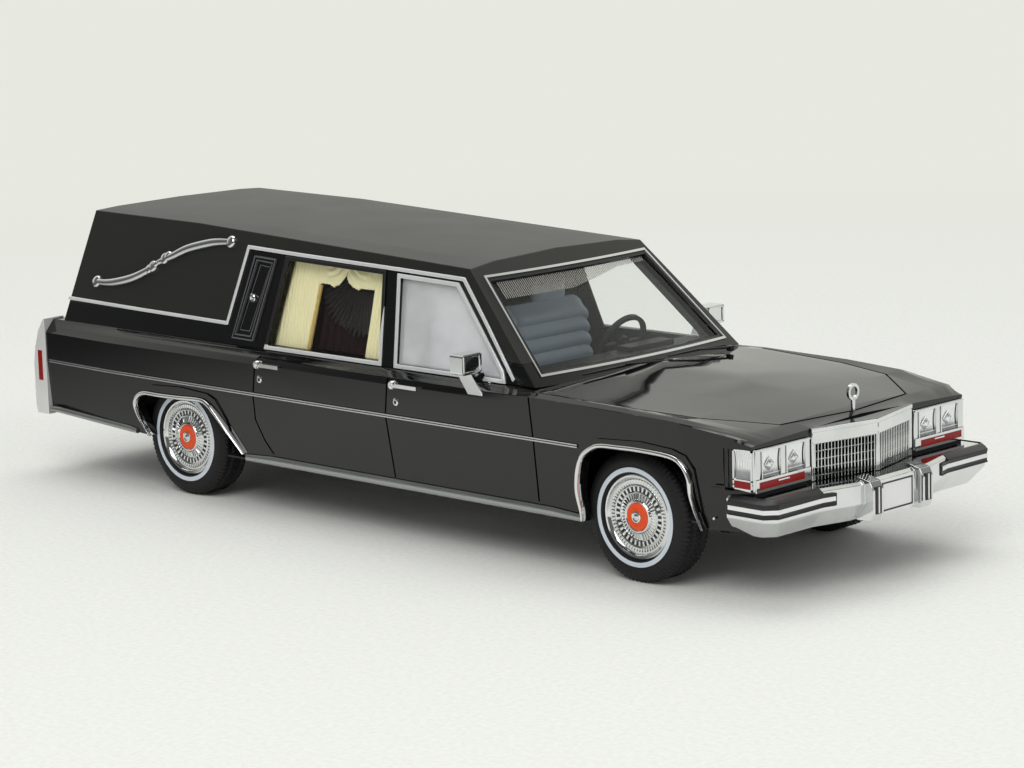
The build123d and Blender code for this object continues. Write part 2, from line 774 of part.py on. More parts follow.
# Rear bumper: a deep band across the tail that rises at each corner into a lamp tower.
tower_inset = 0.5
tower_width = 3.7
tower_half_width = body_half_width - tower_inset
tower_inner_y = tower_half_width - tower_width
tower_profile_shares = (
    (0.00, 0.00), (0.00, 1.00), (0.08, 1.00), (0.55, 0.86), (0.85, 0.68), (1.00, 0.52), (1.00, 0.08),
    (0.90, 0.00),
)
tower_low_z = bumper_low_z
tower_high_z = shoulder_z + gap_width
lens_depth = 0.5
# Columns: tail end, nose end, foot and head of a lens, as shares of the tower's depth and height.
side_lens_shares = (0.65, 0.30, 0.35, 0.66)
rear_lens_inset = 0.9
rear_lens_low_share = 0.16
rear_lens_high_share = 0.50


def tower_points(shares):
    """Outline of a lamp tower in the side view, from shares of its depth and height."""
    depth = tail_x - rear_bumper_x
    return [
        (tail_x - back * depth, tower_low_z + up * (tower_high_z - tower_low_z)) for back, up in shares
    ]


back, fore, foot, head = side_lens_shares
side_lens_outline = tower_points(((back, foot), (back, head), (fore, head), (fore, foot)))
tower_height = tower_high_z - tower_low_z
with BuildPart() as rear_lenses:
    add(side_prism(side_lens_outline, tower_half_width - lens_depth, tower_half_width))
    with BuildSketch(Plane.YZ.offset(rear_bumper_x)):
        with Locations(
            (
                tower_half_width - tower_width / 2,
                tower_low_z + (rear_lens_low_share + rear_lens_high_share) / 2 * tower_height,
            )
        ):
            Rectangle(
                tower_width - 2 * rear_lens_inset,
                (rear_lens_high_share - rear_lens_low_share) * tower_height,
            )
    extrude(amount=lens_depth)
    mirror(about=Plane.XZ)
rear_lenses.part.label = "rear_red_lamps"
export_step(rear_lenses.part, "parts/rear_red_lamps.step")

with BuildPart() as rear_bumper:
    add(side_prism(tower_points(tower_profile_shares), tower_inner_y, tower_half_width))
    mirror(about=Plane.XZ)
    with BuildSketch(Plane.XY.offset(bumper_low_z)):
        with Locations(((rear_bumper_x + tail_x) / 2, 0)):
            Rectangle(tail_x - rear_bumper_x, 2 * tower_inner_y)
    extrude(amount=bumper_high_z - bumper_low_z)
    add(rear_lenses.part, mode=Mode.SUBTRACT)
rear_bumper.part.label = "rear_bumper"
export_step(rear_bumper.part, "parts/rear_bumper.step")

with BuildPart() as rear_plate:
    with BuildSketch(Plane.YZ.offset(rear_bumper_x - plate_thickness)):
        with Locations((0, (bumper_low_z + bumper_high_z) / 2)):
            Rectangle(plate_width, plate_height)
    extrude(amount=plate_thickness)
rear_plate.part.label = "rear_plate"
export_step(rear_plate.part, "parts/rear_plate.step")

# Headlamp bezels fill the notches at the nose's corners. Each has two clear lamps over a red bar in
# front, and a clear lamp over a red bar round the corner.
bezel_inset = 1.6
bezel_half_width = body_half_width - bezel_inset
lamp_size = 3.4
lamp_pitch = 4.6
lamp_pocket = 0.5
lamp_row_z = lamp_high_z - 0.6 * lamp_size
lamp_first_y = lamp_inner_y + 0.8 * lamp_size
red_height = 0.85
red_low_z = lamp_low_z + red_height / 2
bezel_front_x = nose_x + bezel_proud
side_lamp_x = bezel_front_x - lamp_depth / 2
side_lamp_length = 2.6


def front_lamps(side):
    """Outlines of one side's two clear lamps, in the plane of the bezel's face."""
    with Locations(*[(side * (lamp_first_y + step * lamp_pitch), lamp_row_z) for step in (0, 1)]):
        Rectangle(lamp_size, lamp_size)


def red_bar(side):
    """Outline of one side's red bar, in the plane of the bezel's face."""
    with Locations((side * (lamp_inner_y + bezel_half_width) / 2, red_low_z + red_height / 2)):
        Rectangle(bezel_half_width - lamp_inner_y - 2 * lamp_pocket, red_height)


clear_solids = {}
red_solids = []
for side_name, side in (("left", 1), ("right", -1)):
    face_y = side * bezel_half_width
    with BuildPart() as clear_lamps:
        with BuildSketch(Plane.YZ.offset(bezel_front_x - lamp_pocket)):
            front_lamps(side)
        extrude(amount=lamp_pocket)
        with BuildSketch(Plane.XZ.offset(-face_y)):
            with Locations((side_lamp_x, lamp_row_z)):
                Rectangle(side_lamp_length, lamp_size)
        extrude(amount=side * lamp_pocket)
    clear_solids[side_name] = clear_lamps.part
    with BuildPart() as red_lamp:
        with BuildSketch(Plane.YZ.offset(bezel_front_x - lamp_pocket)):
            red_bar(side)
        extrude(amount=lamp_pocket)
        with BuildSketch(Plane.XZ.offset(-face_y)):
            with Locations((side_lamp_x, red_low_z + red_height / 2)):
                Rectangle(side_lamp_length, red_height)
        extrude(amount=side * lamp_pocket)
    red_solids.append(red_lamp.part)
    with BuildPart() as bezel:
        with BuildSketch(Plane.XY.offset(lamp_low_z)):
            with Locations(
                (bezel_front_x - (lamp_depth + bezel_proud) / 2, side * (lamp_inner_y + bezel_half_width) / 2)
            ):
                Rectangle(lamp_depth + bezel_proud, bezel_half_width - lamp_inner_y)
        extrude(amount=lamp_height)
        add(clear_lamps.part, mode=Mode.SUBTRACT)
        add(red_lamp.part, mode=Mode.SUBTRACT)
    bezel.part.label = f"headlamp_bezel_{side_name}"
    export_step(bezel.part, f"parts/headlamp_bezel_{side_name}.step")

for side_name, solid in clear_solids.items():
    with BuildPart() as lens:
        add(solid)
    lens.part.label = f"headlamps_{side_name}"
    export_step(lens.part, f"parts/headlamps_{side_name}.step")

with BuildPart() as red_lamps:
    for solid in red_solids:
        add(solid)
red_lamps.part.label = "front_red_lamps"
export_step(red_lamps.part, "parts/front_red_lamps.step")

# Grille: a V in plan. The header carries it at the top, and each half is a crate of thin bars in front
# of a closed back, as the casting has it.
grille_drop = 6.0
grille_low_z = header_low_z - grille_drop
grille_frame = 0.5
cell_columns = 16
cell_rows = 5
bar_thickness = 0.17
cell_depth = 0.5
half_face = hypot(grille_peak, grille_half_width)
with BuildPart() as grille_header:
    with BuildSketch(Plane.XY.offset(header_low_z)):
        with BuildLine():
            Polyline(*v_outline(nose_x), close=True)
        make_face()
    extrude(amount=header_height)
    with BuildSketch(Plane.XY.offset(grille_low_z)):
        with Locations((nose_x + bezel_proud / 2, grille_half_width - grille_frame / 2),
                       (nose_x + bezel_proud / 2, grille_frame / 2 - grille_half_width)):
            Rectangle(bezel_proud, grille_frame)
    extrude(amount=grille_drop)
grille_header.part.label = "grille_header"
export_step(grille_header.part, "parts/grille_header.step")

with BuildPart() as grille_bars:
    inner = grille_half_width - grille_frame
    with BuildSketch(Plane.XY.offset(grille_low_z)):
        with BuildLine():
            Polyline(*v_outline(nose_x, -bar_thickness), close=True)
        make_face()
        with Locations((nose_x, inner + grille_frame), (nose_x, -inner - grille_frame)):
            Rectangle(4 * bezel_proud, 2 * grille_frame, mode=Mode.SUBTRACT)
    extrude(amount=grille_drop)
    pitch_y = (half_face - grille_frame) / cell_columns
    pitch_z = grille_drop / cell_rows
    for side in (1, -1):
        face_plane = Plane(
            origin=(
                nose_x + bezel_proud - bar_thickness + grille_peak / 2,
                side * (grille_half_width - grille_frame) / 2,
                (grille_low_z + header_low_z) / 2,
            ),
            x_dir=(-side * grille_peak, grille_half_width, 0),
            z_dir=(grille_half_width, side * grille_peak, 0),
        )
        with BuildSketch(face_plane):
            with GridLocations(pitch_y, pitch_z, cell_columns, cell_rows):
                Rectangle(pitch_y - bar_thickness, pitch_z - bar_thickness)
        extrude(amount=cell_depth, both=True, mode=Mode.SUBTRACT)
grille_bars.part.label = "grille_bars"
export_step(grille_bars.part, "parts/grille_bars.step")

# Hood ornament: a plain ring on a short post.
ornament_setback = 1.2
ornament_x = nose_x - ornament_setback
ring_radius = 1.05
ring_wire = 0.18
post_radius = 0.3
ring_rise = 3.8
ring_z = lamp_high_z + ring_rise
with BuildPart() as hood_ornament:
    with BuildSketch(Plane.YZ.offset(ornament_x - ring_wire)):
        with Locations((0, ring_z)):
            Circle(ring_radius)
            Circle(ring_radius - 2 * ring_wire, mode=Mode.SUBTRACT)
    extrude(amount=2 * ring_wire)
    with BuildSketch(Plane.XY.offset(lamp_high_z)):
        with Locations((ornament_x, 0)):
            Circle(post_radius)
    extrude(amount=ring_z - ring_radius + ring_wire - lamp_high_z)
    add(outer_body, mode=Mode.SUBTRACT)
hood_ornament.part.label = "hood_ornament"
export_step(hood_ornament.part, "parts/hood_ornament.step")

# Door mirrors on a wedge foot.
mirror_setback = 8.05
mirror_x = screen_foot_x - mirror_setback
mirror_length = 2.2
mirror_rise = 1.6
mirror_height = 2.6
mirror_low_z = shoulder_z + mirror_rise
mirror_high_z = mirror_low_z + mirror_height
mirror_inset = 0.3
mirror_width = 3.5
mirror_inner_y = body_half_width - mirror_inset
mirror_outer_y = mirror_inner_y + mirror_width
foot_length = 2.6
foot_profile_shares = ((0.0, 0.0), (0.35, 0.0), (0.75, 1.0), (0.35, 1.0))
for side_name, side in (("left", 1), ("right", -1)):
    with BuildPart() as door_mirror:
        with BuildSketch(Plane.YZ.offset(mirror_x - mirror_length / 2)):
            with Locations(
                (side * (mirror_inner_y + mirror_outer_y) / 2, (mirror_low_z + mirror_high_z) / 2)
            ):
                RectangleRounded(mirror_outer_y - mirror_inner_y, mirror_high_z - mirror_low_z, ring_wire * 2)
        extrude(amount=mirror_length)
        with BuildSketch(Plane.YZ.offset(mirror_x - foot_length / 2)):
            with BuildLine():
                Polyline(
                    *[(side * (belt_half_width + across * (mirror_outer_y - belt_half_width)),
                       shoulder_z - overrun + up * (mirror_low_z - shoulder_z + overrun))
                      for across, up in foot_profile_shares],
                    close=True,
                )
            make_face()
        extrude(amount=foot_length)
        add(outer_body, mode=Mode.SUBTRACT)
        add(outer_roof, mode=Mode.SUBTRACT)
    door_mirror.part.label = f"mirror_{side_name}"
    export_step(door_mirror.part, f"parts/mirror_{side_name}.step")

# Base plate with wheel cut-outs, axle carriers and two screw bosses for a display plinth.
base_setback = 4.5
base_rear_x = tail_x + base_setback
base_front_x = nose_x - base_setback
well_half = tyre_radius + wheel_room
well_inner_y = track_half - tyre_width / 2 - wheel_room
carrier_inset = 1.5
carrier_y = well_inner_y - carrier_inset
carrier_thick = 1.6
carrier_half = 1.9
carrier_top_z = tyre_radius + axle_radius + 1.0
screw_x_front = 22.0
screw_x_rear = -58.0
screw_radius = 1.25
boss_radius = 2.6
boss_height = 5.0
screw_depth = 4.2
relief_depth = 0.5
tunnel_width = 4.0
pipe_y = 10.5
pipe_width = 1.6
silencer_width = 4.2
skirt_inset = 1.8
skirt_thickness = 0.9
skirt_height = 2.6
member_width = 2.4
# Relief under the plate. Columns: from, to as shares of the wheelbase ahead of the rear axle, middle
# across the car, width.
relief_shares = (
    (0.05, 0.60, 0.0, tunnel_width),
    (0.16, 0.90, -pipe_y, pipe_width),
    (0.30, 0.50, -pipe_y, silencer_width),
    (0.16, 0.90, pipe_y + pipe_width, pipe_width / 2),
)
with BuildPart() as base_plate:
    with BuildSketch(Plane.XY.offset(base_low_z)):
        with Locations(((base_rear_x + base_front_x) / 2, 0)):
            Rectangle(base_front_x - base_rear_x, 2 * base_half_width)
        for axle_x in (front_axle_x, rear_axle_x):
            with Locations((axle_x, base_half_width), (axle_x, -base_half_width)):
                Rectangle(2 * well_half, 2 * (base_half_width - well_inner_y), mode=Mode.SUBTRACT)
    extrude(amount=base_thickness)
    with BuildSketch(Plane.XY.offset(sill_z)):
        for axle_x in (front_axle_x, rear_axle_x):
            with Locations((axle_x, carrier_y), (axle_x, -carrier_y)):
                Rectangle(2 * carrier_half, carrier_thick)
    extrude(amount=carrier_top_z - sill_z)
    for axle_x in (front_axle_x, rear_axle_x):
        with Locations(Location((axle_x, 0, tyre_radius), (90, 0, 0))):
            Cylinder(axle_radius + axle_clearance, 2 * base_half_width, mode=Mode.SUBTRACT)
    with BuildSketch(Plane.XY.offset(sill_z)):
        with Locations((screw_x_front, 0), (screw_x_rear, 0)):
            Circle(boss_radius)
    extrude(amount=boss_height - base_thickness)
    with BuildSketch(Plane.XY.offset(base_low_z)):
        with Locations((screw_x_front, 0), (screw_x_rear, 0)):
            Circle(screw_radius)
    extrude(amount=screw_depth, mode=Mode.SUBTRACT)
    for near, far, middle_y, width in relief_shares:
        with BuildSketch(Plane.XY.offset(base_low_z - relief_depth)):
            with Locations((rear_axle_x + (near + far) / 2 * wheelbase, middle_y)):
                Rectangle((far - near) * wheelbase, width)
        extrude(amount=relief_depth)
    with BuildSketch(Plane.XY.offset(base_low_z - relief_depth)):
        with Locations((front_axle_x, 0), (rear_axle_x, 0)):
            Rectangle(member_width, 2 * carrier_y)
    extrude(amount=relief_depth)
    skirt_y = base_half_width - skirt_inset - skirt_thickness / 2
    with BuildSketch(Plane.XY.offset(sill_z)):
        for from_x, to_x in (
            (base_rear_x, rear_axle_x - well_half), (front_axle_x + well_half, base_front_x - wall)
        ):
            with Locations(((from_x + to_x) / 2, skirt_y), ((from_x + to_x) / 2, -skirt_y)):
                Rectangle(to_x - from_x, skirt_thickness)
    extrude(amount=skirt_height)
base_plate.part.label = "base_plate"
export_step(base_plate.part, "parts/base_plate.step")

# Cabin tub: floor, door cards and firewall, standing on the base plate under the shoulder.
tub_rear_x = -8.0
card_gap = 1.0
card_outer_y = body_half_width - wall - card_gap
card_thickness = 0.9
card_top_z = shoulder_z - 2 * wall
with BuildPart() as cabin_tub:
    with BuildSketch(Plane.XY.offset(sill_z)):
        with Locations(((tub_rear_x + cabin_front_x) / 2, 0)):
            Rectangle(cabin_front_x - tub_rear_x, 2 * card_outer_y)
        with Locations((screw_x_front, 0)):
            Circle(boss_radius + axle_clearance, mode=Mode.SUBTRACT)
    extrude(amount=tub_floor)
    with BuildSketch(Plane.XY.offset(sill_z)):
        for side in (1, -1):
            with Locations(((tub_rear_x + cabin_front_x) / 2, side * (card_outer_y - card_thickness / 2))):
                Rectangle(cabin_front_x - tub_rear_x, card_thickness)
    extrude(amount=card_top_z - sill_z)
    with BuildSketch(Plane.XY.offset(sill_z)):
        with Locations((cabin_front_x - card_thickness / 2, 0)):
            Rectangle(card_thickness, 2 * card_outer_y)
    extrude(amount=card_top_z - sill_z)
cabin_tub.part.label = "cabin_tub"
export_step(cabin_tub.part, "parts/cabin_tub.step")

# Load deck: a flat floor on two long legs that straddle the rear axle.
deck_gap = 0.2
deck_half_width = card_outer_y - deck_gap
deck_leg_inset = 2.0
deck_leg_y = carrier_y - deck_leg_inset
deck_setback = 3.6
deck_rear_x = tail_x + deck_setback
axle_room = 2.6
with BuildPart() as load_deck:
    with BuildSketch(Plane.XY.offset(deck_top_z - deck_thickness)):
        with Locations(((deck_rear_x + tub_rear_x) / 2, 0)):
            Rectangle(tub_rear_x - deck_rear_x, 2 * deck_half_width)
    extrude(amount=deck_thickness)
    with BuildSketch(Plane.XY.offset(sill_z)):
        for side in (1, -1):
            with Locations(((deck_rear_x + tub_rear_x) / 2, side * deck_leg_y)):
                Rectangle(tub_rear_x - deck_rear_x, deck_thickness)
    extrude(amount=deck_top_z - deck_thickness - sill_z)
    with BuildSketch(Plane.XZ):
        with Locations((rear_axle_x, sill_z)):
            Rectangle(2 * axle_room, 2 * (carrier_top_z - sill_z + wheel_room))
    extrude(amount=base_half_width, both=True, mode=Mode.SUBTRACT)
load_deck.part.label = "load_deck"
export_step(load_deck.part, "parts/load_deck.step")

# Partition behind the bench, leaning in with the greenhouse.
partition_x = 3.2
partition_thickness = 0.8
partition_top_share = 0.571
partition_top_z = shoulder_z + partition_top_share * roof_rise
partition_gap = 0.4
with BuildPart() as partition:
    card_y = card_outer_y - card_thickness - partition_gap
    upper_foot_y = roof_side_y(shoulder_z) - roof_wall - partition_gap
    upper_head_y = roof_side_y(partition_top_z) - roof_wall - partition_gap
    with BuildSketch(Plane.YZ.offset(partition_x)):
        with BuildLine():
            Polyline(
                (card_y, sill_z + tub_floor), (card_y, card_top_z - wall), (upper_foot_y, shoulder_z),
                (upper_head_y, partition_top_z), (-upper_head_y, partition_top_z),
                (-upper_foot_y, shoulder_z), (-card_y, card_top_z - wall), (-card_y, sill_z + tub_floor),
                close=True,
            )
        make_face()
    extrude(amount=-partition_thickness)
partition.part.label = "partition"
export_step(partition.part, "parts/partition.step")

# Bench seat: one cushion and one back across the cabin.
seat_gap = 2.7
seat_half_width = card_outer_y - card_thickness - seat_gap
seat_profile_shares = (
    (0.00, 0.00), (1.00, 0.00), (1.00, 0.27), (0.93, 0.35), (0.38, 0.33), (0.23, 0.95), (0.17, 1.00),
    (0.03, 0.98), (0.00, 0.60),
)
seat_rear_x = partition_x + 0.3
seat_length = 14.5
seat_drop = 3.5
seat_height = partition_top_z - seat_drop - sill_z - tub_floor
headrest_width = 6.4
headrest_height = 2.3
headrest_thickness = 1.9
headrest_pitch = 15.6
with BuildPart() as bench_seat:
    outline = [
        (seat_rear_x + along * seat_length, sill_z + tub_floor + up * seat_height)
        for along, up in seat_profile_shares
    ]
    add(side_prism(outline, -seat_half_width, seat_half_width))
    with BuildSketch(Plane.XY.offset(sill_z + tub_floor + seat_height - seat_gap / 4)):
        with Locations((seat_rear_x + headrest_thickness, 0)):
            with GridLocations(headrest_pitch, headrest_pitch, 1, 2):
                Rectangle(headrest_thickness, headrest_width)
    extrude(amount=headrest_height)
bench_seat.part.label = "bench_seat"
export_step(bench_seat.part, "parts/bench_seat.step")

# Dashboard with a raised binnacle before the driver.
dash_gap = 0.9
dash_half_width = card_outer_y - card_thickness - dash_gap
dash_depth = 5.0
dash_rise = 0.6
dash_height = 8.2
dash_top_z = shoulder_z + dash_rise
dash_low_z = dash_top_z - dash_height
binnacle_height = 1.3
driver_y = 8.6
with BuildPart() as dashboard:
    dash_outline = [
        (cabin_front_x - card_thickness, dash_low_z), (cabin_front_x - card_thickness, dash_top_z),
        (cabin_front_x - dash_depth, dash_top_z), (cabin_front_x - dash_depth - wall, dash_top_z - wall),
        (cabin_front_x - dash_depth, dash_low_z),
    ]
    add(side_prism(dash_outline, -dash_half_width, dash_half_width))
    with Locations((cabin_front_x - dash_depth * 0.7, driver_y, dash_top_z)):
        Box(dash_depth / 2, driver_y, binnacle_height)
dashboard.part.label = "dashboard"
export_step(dashboard.part, "parts/dashboard.step")

# Steering wheel on its column.
wheel_ring_radius = 4.3
wheel_ring_wire = 0.3
wheel_setback = 7.8
wheel_rise = 0.7
column_length = 4.4
wheel_x = cabin_front_x - wheel_setback
wheel_z = shoulder_z + wheel_rise
with BuildPart() as steering_wheel:
    ring_plane = Plane(origin=(wheel_x, driver_y, wheel_z), x_dir=(0, 1, 0), z_dir=(-1, 0, 0.45))
    with BuildSketch(ring_plane):
        Circle(wheel_ring_radius)
        Circle(wheel_ring_radius - 2 * wheel_ring_wire, mode=Mode.SUBTRACT)
        Rectangle(2 * wheel_ring_radius - 2 * wheel_ring_wire, 2 * wheel_ring_wire)
        Circle(wheel_ring_radius / 4)
    extrude(amount=wheel_ring_wire, both=True)
    with BuildSketch(ring_plane):
        Circle(2 * wheel_ring_wire)
    extrude(amount=-column_length)
    add(dashboard.part, mode=Mode.SUBTRACT)
steering_wheel.part.label = "steering_wheel"
export_step(steering_wheel.part, "parts/steering_wheel.step")

# Wheels and tyres, turned about the axle. Sketch points are (distance from centre plane, radius).
hub_face = track_half + tyre_width / 2 - hub_dish
rim_depth = 3.6
hub_bore_depth = 1.2


def turned(points, axle_x):
    """Profile of (distance from the centre plane, radius) points turned about one axle."""
    with BuildPart(mode=Mode.PRIVATE) as solid:
        with BuildSketch(Plane(origin=(axle_x, 0, tyre_radius), x_dir=(0, 1, 0), z_dir=(1, 0, 0))):
            with BuildLine():
                Polyline(*points, close=True)
            make_face()
        revolve(axis=Axis((axle_x, 0, tyre_radius), (0, 1, 0)))
    return solid.part


tyre_outer_y = track_half + tyre_width / 2
tyre_inner_y = track_half - tyre_width / 2
bead_radius = 5.45
shoulder_round = 0.8
centre_share = 0.36
for end_name, axle_x in (("front", front_axle_x), ("rear", rear_axle_x)):
    for side_name, side in (("left", 1), ("right", -1)):
        wheel_points = [
            (hub_face - rim_depth, bead_radius), (hub_face, bead_radius),
            (hub_face - rim_lip, hub_cap_radius),
            (hub_face, hub_cap_radius * centre_share), (hub_face, 0), (hub_face - hub_bore_depth, 0),
            (hub_face - hub_bore_depth, axle_radius), (hub_face - rim_depth, axle_radius),
        ]
        tyre_points = [
            (tyre_inner_y, bead_radius), (tyre_inner_y, tyre_radius - shoulder_round),
            (tyre_inner_y + shoulder_round, tyre_radius), (tyre_outer_y - shoulder_round, tyre_radius),
            (tyre_outer_y, tyre_radius - shoulder_round), (hub_face, bead_radius),
        ]
        with BuildPart() as wheel:
            add(turned([(side * y, r) for y, r in wheel_points], axle_x))
        wheel.part.label = f"wheel_{end_name}_{side_name}"
        export_step(wheel.part, f"parts/wheel_{end_name}_{side_name}.step")
        with BuildPart() as tyre:
            add(turned([(side * y, r) for y, r in tyre_points], axle_x))
        tyre.part.label = f"tyre_{end_name}_{side_name}"
        export_step(tyre.part, f"parts/tyre_{end_name}_{side_name}.step")
    with BuildPart() as axle:
        with Locations(Location((axle_x, 0, tyre_radius), (90, 0, 0))):
            Cylinder(axle_radius, 2 * (hub_face - hub_bore_depth))
    axle.part.label = f"axle_{end_name}"
    export_step(axle.part, f"parts/axle_{end_name}.step")
print("all parts written")
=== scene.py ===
"""Looks of a die-cast scale model of a hearse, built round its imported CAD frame."""
from __future__ import annotations

import json
import logging
import math
from dataclasses import dataclass, field
from enum import Enum
from typing import Callable, Iterable, Optional, Sequence, Union

import bmesh
import bpy
from mathutils import Matrix, Vector

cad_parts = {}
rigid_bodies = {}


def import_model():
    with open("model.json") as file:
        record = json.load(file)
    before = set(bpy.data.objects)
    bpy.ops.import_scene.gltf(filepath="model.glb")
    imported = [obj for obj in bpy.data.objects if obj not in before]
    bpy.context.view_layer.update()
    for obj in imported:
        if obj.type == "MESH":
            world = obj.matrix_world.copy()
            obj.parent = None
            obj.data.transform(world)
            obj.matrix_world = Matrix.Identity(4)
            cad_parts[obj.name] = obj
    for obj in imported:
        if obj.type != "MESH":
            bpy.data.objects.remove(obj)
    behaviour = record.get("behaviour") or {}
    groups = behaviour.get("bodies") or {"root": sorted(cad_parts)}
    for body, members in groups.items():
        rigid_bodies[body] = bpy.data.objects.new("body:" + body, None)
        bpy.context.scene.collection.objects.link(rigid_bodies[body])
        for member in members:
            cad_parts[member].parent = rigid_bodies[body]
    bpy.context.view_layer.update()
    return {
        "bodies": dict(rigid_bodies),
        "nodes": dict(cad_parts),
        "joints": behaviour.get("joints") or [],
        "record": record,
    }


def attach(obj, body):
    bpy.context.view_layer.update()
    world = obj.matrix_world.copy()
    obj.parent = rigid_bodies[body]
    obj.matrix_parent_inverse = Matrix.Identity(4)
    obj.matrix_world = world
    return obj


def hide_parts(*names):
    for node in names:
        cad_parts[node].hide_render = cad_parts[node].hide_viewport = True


log = logging.getLogger("hearse")

MM = 0.001
Colour = tuple[float, float, float]
Point = tuple[float, float, float]
Flat = tuple[float, float]
Socket = bpy.types.NodeSocket

# Places that several pieces share, in millimetres.
FRONT_AXLE_X = 46.0
REAR_AXLE_X = -39.35
TYRE_RADIUS = 8.3
SHOULDER_Z = 22.6
SHOULDER_HALF_WIDTH = 19.9
WALL_LEAN = 0.257
ROOF_FALL = -0.0185
PLATE_Z = 11.05
SCREW_PLACES_X = (22.0, -58.0)


def wall(z: float) -> float:
    """Half width of the greenhouse's side at a height."""
    return SHOULDER_HALF_WIDTH - (z - SHOULDER_Z) * WALL_LEAN


def round_steps(count: int) -> list[Flat]:
    """Cosine and sine of evenly spaced turns round a circle."""
    return [(math.cos(math.tau * k / count), math.sin(math.tau * k / count)) for k in range(count)]


def direction(line: Sequence[Flat], index: int) -> Vector:
    """Direction of a line at one of its points."""
    before, after = line[max(index - 1, 0)], line[min(index + 1, len(line) - 1)]
    return Vector((after[0] - before[0], after[1] - before[1])).normalized()


def smooth_curve(line: Sequence[Flat], steps: int) -> list[Flat]:
    """Points of a smooth curve through a line's points."""
    smooth: list[Flat] = []
    for i in range(len(line) - 1):
        p0, p1, p2, p3 = line[max(i - 1, 0)], line[i], line[i + 1], line[min(i + 2, len(line) - 1)]
        for k in range(steps):
            t = k / steps
            smooth.append(tuple(
                0.5 * (2 * b + (c - a) * t + (2 * a - 5 * b + 4 * c - d) * t * t
                       + (3 * b - a - 3 * c + d) * t ** 3)
                for a, b, c, d in zip(p0, p1, p2, p3)))
    return smooth + [line[-1]]


def soften(target: bpy.types.Object, width_mm: float, angle_deg: float) -> None:
    """Adds a narrow bevel to the edges of an object that are sharper than an angle."""
    bevel = target.modifiers.new("soft_edges", "BEVEL")
    bevel.width = width_mm * MM
    bevel.segments = 2
    bevel.limit_method = "ANGLE"
    bevel.angle_limit = math.radians(angle_deg)


class Body(Enum):
    """Moving bodies of the model, by their names in the frame."""

    CAR = "car_body"
    FRONT_AXLE = "front_axle_set"
    REAR_AXLE = "rear_axle_set"


class Side(Enum):
    """Sides of the car, each with its sign along Y."""

    LEFT = 1
    RIGHT = -1

    @property
    def word(self) -> str:
        """Lower-case name of the side."""
        return self.name.lower()


@dataclass(frozen=True)
class NodeWriter:
    """Small helper that adds nodes and links to one tree."""

    tree: bpy.types.NodeTree

    def add(self, kind: str, **inputs: object) -> bpy.types.Node:
        """Adds a node and sets its properties or input defaults.

        Args:
            kind: Blender's type name of the node.
            **inputs: node properties, or input sockets by name with underscores for spaces.

        Returns:
            The new node.
        """
        node = self.tree.nodes.new(kind)
        for key, value in inputs.items():
            if hasattr(node, key):
                setattr(node, key, value)
            else:
                node.inputs[key.replace("_", " ")].default_value = value
        return node

    def link(self, source: Socket, target: Socket) -> None:
        """Links an output to an input."""
        self.tree.links.new(source, target)

    def math(self, operation: str, first: object, second: object = 0.0) -> Socket:
        """Adds a math node on two sockets or numbers.

        Args:
            operation: name of the operation.
            first: socket or number.
            second: socket or number.

        Returns:
            The node's output.
        """
        node = self.tree.nodes.new("ShaderNodeMath")
        node.operation = operation
        for index, value in enumerate((first, second)):
            if isinstance(value, (int, float)):
                node.inputs[index].default_value = value
            else:
                self.link(value, node.inputs[index])
        return node.outputs[0]

    def mix_shader(self, share: Socket, first: Socket, second: Socket) -> Socket:
        """Mixes two shaders by a share of the second, and returns the mix."""
        mix = self.add("ShaderNodeMixShader")
        for source, target in zip((share, first, second), (mix.inputs["Fac"], mix.inputs[1], mix.inputs[2])):
            self.link(source, target)
        return mix.outputs["Shader"]

    def smoothstep(self, value: Socket, start: float, end: float, low: float = 0.0, high: float = 1.0) -> Socket:
        """Maps a value softly from one range to another, and returns the result."""
        ramp = self.add("ShaderNodeMapRange", interpolation_type="SMOOTHSTEP")
        for key, number in (("From Min", start), ("From Max", end), ("To Min", low), ("To Max", high)):
            ramp.inputs[key].default_value = number
        self.link(value, ramp.inputs["Value"])
        return ramp.outputs["Result"]


def new_material(label: str) -> tuple[bpy.types.Material, NodeWriter]:
    """Makes an empty node material, and returns it with a writer for its tree."""
    material = bpy.data.materials.new(label)
    material.use_nodes = True
    material.node_tree.nodes.clear()
    return material, NodeWriter(material.node_tree)


